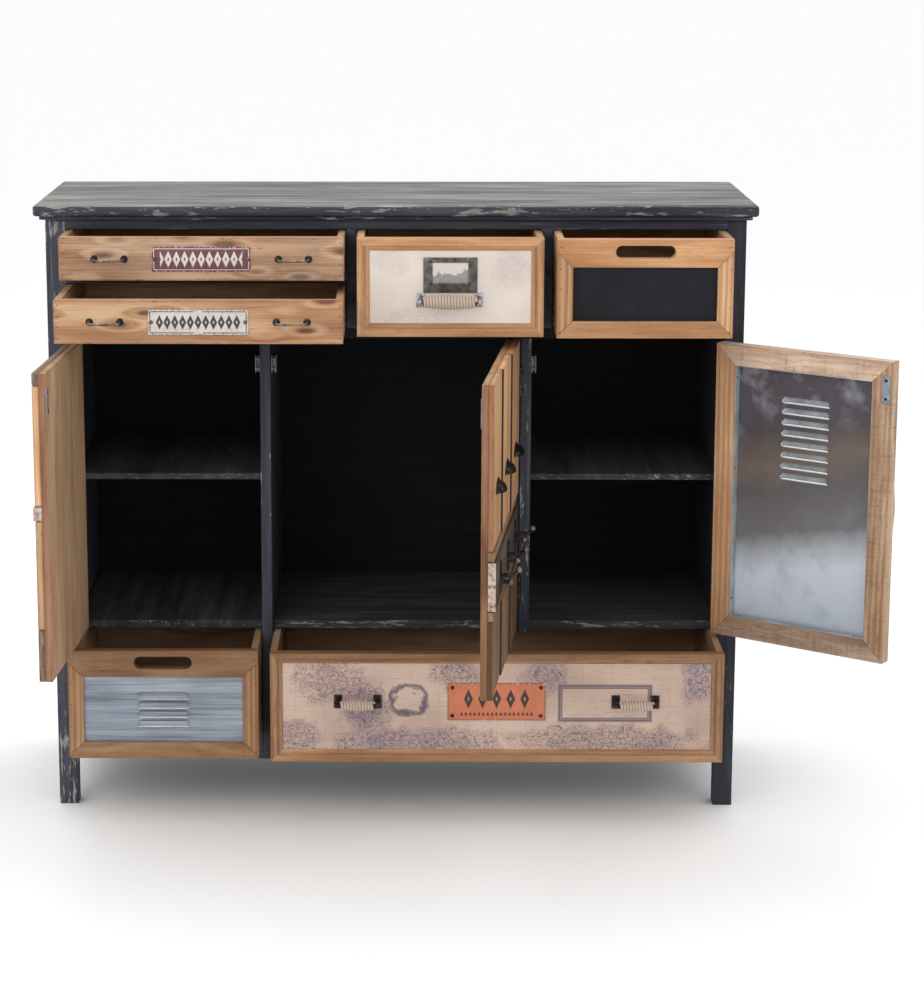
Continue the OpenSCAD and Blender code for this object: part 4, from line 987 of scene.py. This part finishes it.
middle = (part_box("map_drawer_grip")[0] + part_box("map_drawer_grip")[1]) / 2
wide_low, wide_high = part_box("wide_drawer_grips")
map_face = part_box("map_drawer_panel")[0].y
wide_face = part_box("wide_drawer_panel")[0].y
wide_middle = (wide_low + wide_high) / 2
for name, spots, length, r_end, r_mid, steel, steel_slot, nodes in (
        ("map", [Vector((middle.x, map_face, middle.z))], 96 * MM, 9 * MM, 12 * MM, nickel, "pewter",
         ("map_drawer_grip", "map_drawer_brackets")),
        ("wide", [Vector((wide_middle.x + s * MM, wide_face, wide_middle.z)) for s in (-232, 232)], 66 * MM, 7 * MM, 9.5 * MM, iron,
         "black_iron", ("wide_drawer_grips", "wide_drawer_brackets"))):
    bm, steel_bm = bmesh.new(), bmesh.new()
    for spot in spots:
        grip(bm, Matrix.Translation(spot), length, r_end, r_mid, 24 * MM)
        brackets(steel_bm, Matrix.Translation(spot), length, 24 * MM)
    piece(bm, name + "_drawer_wound_grip", name + "_drawer", [cord, core], [nodes[0]], smooth=60)
    piece(steel_bm, name + "_drawer_grip_brackets", name + "_drawer", steel, [nodes[1]])


# ---- Doors ----
# Each door is drawn closed, from its hinge pin along +X with its outer face at 4 mm, and is
# then hung on its pin at the angle it stands at.
def hung(pin_x, angle, mirrored=False):
    """Puts a door drawn from its pin on its hinges, standing open by an angle in degrees."""
    turn = Matrix.Rotation(math.radians(-angle), 4, "Z")
    if mirrored:
        turn = Matrix.Diagonal((-1, 1, 1, 1)) @ turn
    return Matrix.Translation((pin_x * MM, -189 * MM, 0)) @ turn


DOOR_Z0, DOOR_Z1 = 317 * MM, 815.5 * MM
SIDE_W, MIDDLE_W = 318.75 * MM, 417.5 * MM
white_wash, add = new_material("limewashed_batten")
grain = add("Attribute", out="Vector", attribute_name="grain")
lime = add("TexNoise", add("Mapping", grain, Scale=(12, 130, 130)), Scale=1.0, Detail=5.0, Roughness=0.7)
surface(add, Base_Color=add("ValToRGB", lime, stops=[(0.38, "#6d5645"), (0.47, "#ab9888"), (0.7, "#cbbfb3")]), Roughness=0.7,
        Normal=add("Bump", Strength=0.3, Distance=0.0004, Height=lime))
door_woods = [waxed, rough_pine, grey_board, white_wash]


def boards(bm, x, v, z, count, along, ease, gap, tones, material=0):
    """Equal boards side by side across the grain, filling x by z, between the planes v."""
    for i in range(count):
        if along == "z":
            w = (x[1] - x[0]) / count
            a, b = (x[0] + i * w + (gap if i else 0), v[0], z[0]), (x[0] + (i + 1) * w, v[1], z[1])
        else:
            w = (z[1] - z[0]) / count
            a, b = (x[0], v[0], z[0] + i * w + (gap if i else 0)), (x[1], v[1], z[0] + (i + 1) * w)
        coat(plank(bm, a, b, along, ease, 3 * MM, tones[i % len(tones)]), material)


def bands(shares):
    """(bottom, top) of each band of a door, shares of its height from the top."""
    edges = [DOOR_Z1]
    for share in shares:
        edges.append(edges[-1] - share * (DOOR_Z1 - DOOR_Z0))
    return [(b + (1 * MM if i < len(shares) - 1 else 0), a) for i, (a, b) in enumerate(zip(edges, edges[1:]))]


# ---- Left door ----
# Two layers of pine: three upright boards inside and a patchwork of old boards outside, parted
# by a limewashed batten.
X0 = 0.75 * MM
LEFT = hung(-548.75, 93.5)
bm = bmesh.new()
boards(bm, (X0, X0 + SIDE_W), (15 * MM, 26 * MM), (DOOR_Z0, DOOR_Z1), 3, "z", 1.6 * MM, 1.4 * MM,
       [(1.0, 0.12, 0.5), (0.94, 0.15, 0.45), (1.02, 0.12, 0.55)], 1)
coat([f for f in bm.faces if f.calc_center_median().x > X0 + SIDE_W - 0.9 * MM], 2)
piece(bm, "left_door_inner_boards", "left_door", [waxed, raw, edge_pine], ["left_door_boards"], LEFT)
rows = bands((0.042, 0.386, 0.048, 0.354, 0.17))
free = X0 + SIDE_W
bm = bmesh.new()
boards(bm, (X0, free - 1 * MM), (4 * MM, 15 * MM), rows[0], 1, "x", 1.0 * MM, 0, [(0.8, 0.3, 0.4)], 2)
boards(bm, (X0, free - 1 * MM), (4 * MM, 15 * MM), rows[1], 3, "z", 1.2 * MM, 1 * MM,
       [(1.0, 0.1, 0.4), (1.05, 0.05, 0.3), (1.16, 0, 0.3)], 0)
boards(bm, (12 * MM, free), (1 * MM, 15 * MM), rows[2], 1, "x", 1.2 * MM, 0, [(1, 0, 0.5)], 3)
boards(bm, (X0, free - 1 * MM), (4 * MM, 15 * MM), rows[3], 3, "z", 1.2 * MM, 1 * MM,
       [(0.85, 0.15, 0.6), (0.92, 0.05, 0.5), (0.86, 0, 0.8)], 0)
boards(bm, (X0, free - 1 * MM), (4 * MM, 15 * MM), rows[4], 1, "x", 1.2 * MM, 0, [(0.75, 0.3, 0.5)], 2)
piece(bm, "left_door_patchwork", "left_door", door_woods, ["left_door_planks"], LEFT)
bm = bmesh.new()
wire_pull(bm, Matrix.Translation(((1.5 * MM + SIDE_W) / 2, 4 * MM, rows[3][1] - 45 * MM)), 49 * MM, 24 * MM, 1.9 * MM, 6.2 * MM)
piece(bm, "left_door_wire_pull", "left_door", [bright_iron, iron], ["left_door_pull"], LEFT)


# ---- Hinges and strike plates ----
# Butt hinges with plain knuckles, and on each free edge a steel plate that the catch grips,
# held by two dark screws.
plate_steel = metal("dull_steel_plate", "#6e7580", "#9ba2ad", 0.4, (0.5, 0.4), 60.0, (0.35, 0.65))
for name, width, place in (("left_door", SIDE_W, LEFT), ("middle_door", MIDDLE_W, hung(209.5, 83, True)),
                           ("right_door", SIDE_W, hung(548.75, 144, True))):
    bm = from_cad(name + "_fittings", 0.3 * MM, 0, along="z")
    inwards = place.inverted()
    bmesh.ops.delete(bm, geom=[v for v in bm.verts if (inwards @ v.co).x > 0.1], context="VERTS")
    piece(bm, name + "_hinge_leaves", name, iron, [name + "_fittings"])
    bm = bmesh.new()
    x = X0 + width - 10 * MM
    plank(bm, (x - 7 * MM, 25.8 * MM, 746.5 * MM), (x + 7 * MM, 27.5 * MM, 792.5 * MM), "z", 0.6 * MM, 0)
    for z in (754.5 * MM, 784.5 * MM):
        coat(tube(bm, [(x, 27.2 * MM, z), (x, 28.2 * MM, z), (x, 28.4 * MM, z)], [2.8 * MM, 2.4 * MM, 1.2 * MM]), 1)
    piece(bm, name + "_strike_plate", name, [plate_steel, nail_steel], (), place)


# ---- Middle door ----
# Upright boards inside; outside, raised planks above and below a dark weathered board that
# carries three double coat hooks. Three blackened bin pulls are screwed to the upper planks.
MIDDLE = hung(209.5, 83, True)
free = X0 + MIDDLE_W
bm = bmesh.new()
boards(bm, (X0, free), (15 * MM, 26 * MM), (DOOR_Z0, DOOR_Z1), 3, "z", 1.6 * MM, 1.4 * MM,
       [(0.8, 0.05, 0.4), (0.85, 0.05, 0.4), (0.8, 0.1, 0.6)])
coat([f for f in bm.faces if f.calc_center_median().x > free - 0.9 * MM], 1)
piece(bm, "middle_door_inner_boards", "middle_door", [waxed, edge_pine], ["middle_door_boards"], MIDDLE)
rows = bands((0.524, 0.034, 0.158, 0.033, 0.251))
bm = bmesh.new()
third, STEPS = MIDDLE_W / 3, (2, 4.5, 7)
for i, tones in ((0, ((1.15, 0.0, 0.6), (1.3, 0, 0.5), (1.15, 0, 0.6))),
                 (4, ((0.4, 0.1, 0.8), (0.46, 0.15, 0.8), (0.42, 0.1, 0.8)))):
    for k in range(3):
        x = (X0 + k * third + (3 * MM if k else 0), X0 + (k + 1) * third)
        before = set(bm.faces)
        boards(bm, x, (STEPS[k] * MM, 15 * MM), rows[i], 1, "z", 1.0 * MM, 0, [tones[k]], 0)
        # the free-edge sides of the first two planks are coloured near black as painted shade on the steps; the third
        # takes the edge pine
        coat([f for f in since(bm, before) if f.calc_center_median().x > x[1] - 0.7 * MM], 5 if k < 2 else 4)
for i in (1, 3):
    boards(bm, (X0, free), (5 * MM, 15 * MM), rows[i], 1, "x", 1.2 * MM, 0, [(0.5, 0.15, 0.6)], 0)
boards(bm, (X0 + 12 * MM, free), (2 * MM, 15 * MM), rows[2], 1, "x", 1.6 * MM, 0, [(0.3, 0.2, 0.8)], 2)
coat([f for f in bm.faces if f.calc_center_median().x > free - 0.9 * MM and rows[2][0] < f.calc_center_median().z < rows[2][1]], 3)
step_painted_shade = metal("step_side_painted_shade", "#1d1510", "#33261d", 0.0, (0.8, 0.7), 60.0, (0.35, 0.65))
piece(bm, "middle_door_patchwork", "middle_door", door_woods + [edge_pine, step_painted_shade], ["middle_door_planks"], MIDDLE)

bm = bmesh.new()
for k in range(3):
    x, y, z = X0 + (k + 0.5) * third, STEPS[k] * MM, 648.5 * MM - 11 * MM
    before = set(bm.faces)
    bmesh.ops.create_uvsphere(bm, u_segments=32, v_segments=18, radius=1)
    for point, normal in (((0, 0.02, 0), (0, 1, 0)), ((0, 0, 0), (0, 0, -1))):
        bmesh.ops.bisect_plane(bm, geom=whole(since(bm, before)), plane_co=point, plane_no=normal, clear_outer=True)
    faces = since(bm, before)
    for v in {v for f in faces for v in f.verts}:
        v.co = Vector((x + v.co.x * 29 * MM, y + v.co.y * 15 * MM, z + v.co.z * 15 * MM))
    bmesh.ops.solidify(bm, geom=whole(faces), thickness=1.5 * MM)
    flange = bmesh.ops.create_circle(bm, cap_ends=True, segments=40, radius=1)["verts"]
    for v in flange:
        v.co = Vector((x + v.co.x * 33 * MM, y, z + max(0, v.co.y) * 18.5 * MM))
    bmesh.ops.remove_doubles(bm, verts=flange, dist=1e-5)
    face = max((f for f in since(bm, before) if abs(f.normal.y) > 0.99), key=lambda f: f.calc_area())
    thicken(bm, [face], (0, -1.6 * MM, 0))
    for s in (-30.5 * MM, 30.5 * MM):
        dome(bm, x + s, y - 1.6 * MM, z + 4 * MM, 1.9 * MM, 0.9 * MM)
bmesh.ops.recalc_face_normals(bm, faces=bm.faces)
piece(bm, "middle_door_bin_pulls", "middle_door", iron, ["middle_door_cup_pulls"], MIDDLE)

bm = bmesh.new()
hook_z = (rows[2][0] + rows[2][1]) / 2
for share in (0.17, 0.5, 0.83):
    x, y = X0 + share * MIDDLE_W, 2 * MM
    plank(bm, (x - 7 * MM, y - 2 * MM, hook_z - 25 * MM), (x + 7 * MM, y + 0.3 * MM, hook_z + 25 * MM), "z", 0.9 * MM, 0)
    for z in (-20 * MM, 20 * MM):
        dome(bm, x, y - 2 * MM, hook_z + z, 2.3 * MM, 1.0 * MM, True)
    for points, thick in ((((0, 0), (-12, 3), (-24, 4), (-30, 12)), 3.0), (((0, -6), (-8, -9), (-14, -9), (-16, -8)), 2.8)):
        path = bend([(x, y + a * MM, hook_z + b * MM) for a, b in points], 4 * MM, 4)
        tube(bm, path, [thick * MM * (1.25 - 0.35 * i / (len(path) - 1)) for i in range(len(path))], 12)
        tip = path[-1]
        ball = [(tip[0], tip[1] + 5.3 * MM * math.cos(t), tip[2]) for t in (math.pi * k / 10 for k in range(11))]
        coat(tube(bm, ball, [max(0.4 * MM, 5.3 * MM * math.sin(math.pi * k / 10)) for k in range(11)], 16), 1)
piece(bm, "middle_door_coat_hooks", "middle_door", [iron, bright_iron], ["middle_door_hooks"], MIDDLE)


# ---- Right door ----
# A mitred frame of rough-sawn pine round a galvanised tray with eight louvres, its edges
# folded inwards and nailed; a cord-wound grip stands on the free stile.
RIGHT = hung(548.75, 144, True)
low, high = Vector((X0, 4 * MM, DOOR_Z0)), Vector((X0 + SIDE_W, 26 * MM, DOOR_Z1))
bm = bmesh.new()
for side, tone, kind in (("top", (1.6, 0.95, 0.4), 1), ("bottom", (0.92, 0.75, 0.5), 1), ("left", (0.96, 0.0, 0.2), 0),
                         ("right", (0.98, 0.25, 0.4), 1)):
    a, b, cuts = mitre(low, high, side, (35 * MM, 35 * MM, 35 * MM))
    coat(plank(bm, a, b, "x" if side in ("top", "bottom") else "z", 1.1 * MM, 3 * MM, tone, cuts), kind)
piece(bm, "right_door_mitred_frame", "right_door", door_woods, ["right_door_frame"], RIGHT)

tray_metal, add = new_material("galvanised_tray_painted_reflection")
place = add("Attribute", out="Vector", attribute_name="grain")
height = add("SeparateXYZ", place)
height, across = height.node.outputs[1], height
# painted reflection: the sheet is coloured dark brown-violet above, as the mirrored room, and pale below, as the
# mirrored floor, broken into clouds
cloud = add("TexNoise", place, Scale=15.0, Detail=6.0, Roughness=0.62)
spread = add("Math MULTIPLY", add("Math SUBTRACT", cloud, 0.5), 0.05)
tilt = add("Math MULTIPLY", across, -0.22)
level = add("Math ADD", add("Math ADD", height, spread), tilt)
level = add("MapRange", level, -0.214, 0.214)
tint = add("ValToRGB", level,
           stops=[(0.02, "#a3abb5"), (0.22, "#b9c0ca"), (0.3, "#9fa3aa"), (0.38, "#6a6869"), (0.56, "#5a5657"),
                  (0.66, "#6a5d52"), (0.78, "#4a464b"), (0.92, "#4b464e")])
# pale clouds in the upper part, part of the painted reflection
reflection_noise = add("TexNoise", place, Scale=17.0, Detail=4.0, Roughness=0.55)
chalk_bloom_and_reflected_cloud = add("MapRange", reflection_noise, 0.52, 0.75, 0.0, 0.7)
upper = add("MapRange", level, 0.72, 0.98, 0.12, 1.0)
chalk_bloom_and_reflected_cloud = add("Math MULTIPLY", chalk_bloom_and_reflected_cloud, upper)
tint = add("MixRGB", chalk_bloom_and_reflected_cloud, tint, linear("#b4b8c4"))
# darker mottles, part of the painted reflection
darker_reflection_mottle = add("MapRange", reflection_noise, 0.46, 0.3, 0.0, 0.3)
tint = add("MixRGB", darker_reflection_mottle, tint, linear("#5f6069"))
speckle = add("TexNoise", place, Scale=420.0, Detail=3.0)
surface(add, Base_Color=tint, Metallic=0.2, Roughness=0.42, Normal=add("Bump", Strength=0.12, Distance=0.0002, Height=speckle))

tray_low, tray_high = Vector((X0 + 35 * MM, 9 * MM, DOOR_Z0 + 35 * MM)), Vector((X0 + SIDE_W - 35 * MM, 24 * MM, DOOR_Z1 - 35 * MM))
middle = (tray_low + tray_high) / 2
bm = bmesh.new()
louvres = [(middle.x, (815.5 - 149 + (i - 3.5) * 18.3 - 5.5) * MM, 84 * MM) for i in range(8)]
louvred_sheet(bm, (tray_low.x, tray_low.z), (tray_high.x, tray_high.z), tray_low.y, louvres)
for x, z, length in louvres:
    before = set(bm.faces)
    hood(bm, x, z + 0.4 * MM, tray_low.y, 86 * MM, 10.5 * MM, 4.8 * MM)
    # the hoods take the third, paler metal: a painted highlight in their hollows
    coat(since(bm, before), 2)
    # the rolled lip takes the near-white lip metal: a painted highlight
    curl = [(x - 42 * MM, tray_low.y + 1.2 * MM, z + 6 * MM), (x - 43 * MM, tray_low.y + 1.5 * MM, z + 2 * MM),
            (x - 40 * MM, tray_low.y + 1.5 * MM, z - 0.2 * MM), (x + 43 * MM, tray_low.y + 1.5 * MM, z - 0.2 * MM)]
    coat(tube(bm, bend(curl, 1.6 * MM, 3), 0.9 * MM, 8), 1)
t = 1 * MM
for a, b in (((tray_low.x, tray_low.z), (tray_low.x + t, tray_high.z)), ((tray_high.x - t, tray_low.z), (tray_high.x, tray_high.z)),
             ((tray_low.x, tray_low.z), (tray_high.x, tray_low.z + t)), ((tray_low.x, tray_high.z - t), (tray_high.x, tray_high.z))):
    coat(plank(bm, (a[0], tray_low.y + 0.3 * MM, a[1]), (b[0], tray_high.y, b[1]), "x", 0.25 * MM, 0), 2)
layer = layers(bm, "float_vector", "grain")
for v in bm.verts:
    v[layer] = Vector((v.co.x - middle.x, v.co.z - middle.z, 0))
fold_and_hood_highlight_metal = metal("folded_edge_and_hood_highlight", "#8e979b", "#b6bfc3", 0.4, (0.5, 0.4), 30.0, (0.35, 0.65))
piece(bm, "right_door_louvred_tray", "right_door", [tray_metal, lip_painted_highlight_metal, fold_and_hood_highlight_metal], ["right_door_sheet"], RIGHT,
      smooth=50)
bm = bmesh.new()
for z in (tray_low.z + 30 * MM, middle.z + 40 * MM, tray_high.z - 20 * MM):
    for x, way in ((tray_low.x + t, 1), (tray_high.x - t, -1)):
        tube(bm, [(x - way * 0.3 * MM, 20 * MM, z), (x + way * 0.5 * MM, 20 * MM, z)], 1.6 * MM, 10)
for x in (tray_low.x + 20 * MM, tray_high.x - 20 * MM):
    tube(bm, [(x, 20 * MM, tray_low.z + t - 0.3 * MM), (x, 20 * MM, tray_low.z + t + 0.5 * MM)], 1.6 * MM, 10)
piece(bm, "right_door_tray_nails", "right_door", nail_steel, (), RIGHT)
bm, steel_bm = bmesh.new(), bmesh.new()
stand = Matrix.Translation((X0 + SIDE_W - 17.5 * MM, 4 * MM, (DOOR_Z0 + DOOR_Z1) / 2)) @ Matrix.Rotation(math.radians(90), 4, "Y")
grip(bm, stand, 78 * MM, 6 * MM, 8.5 * MM, 24 * MM)
brackets(steel_bm, stand, 78 * MM, 24 * MM)
piece(bm, "right_door_wound_grip", "right_door", [cord, core], ["right_door_pull"], RIGHT, smooth=60)
piece(steel_bm, "right_door_grip_brackets", "right_door", iron, (), RIGHT)
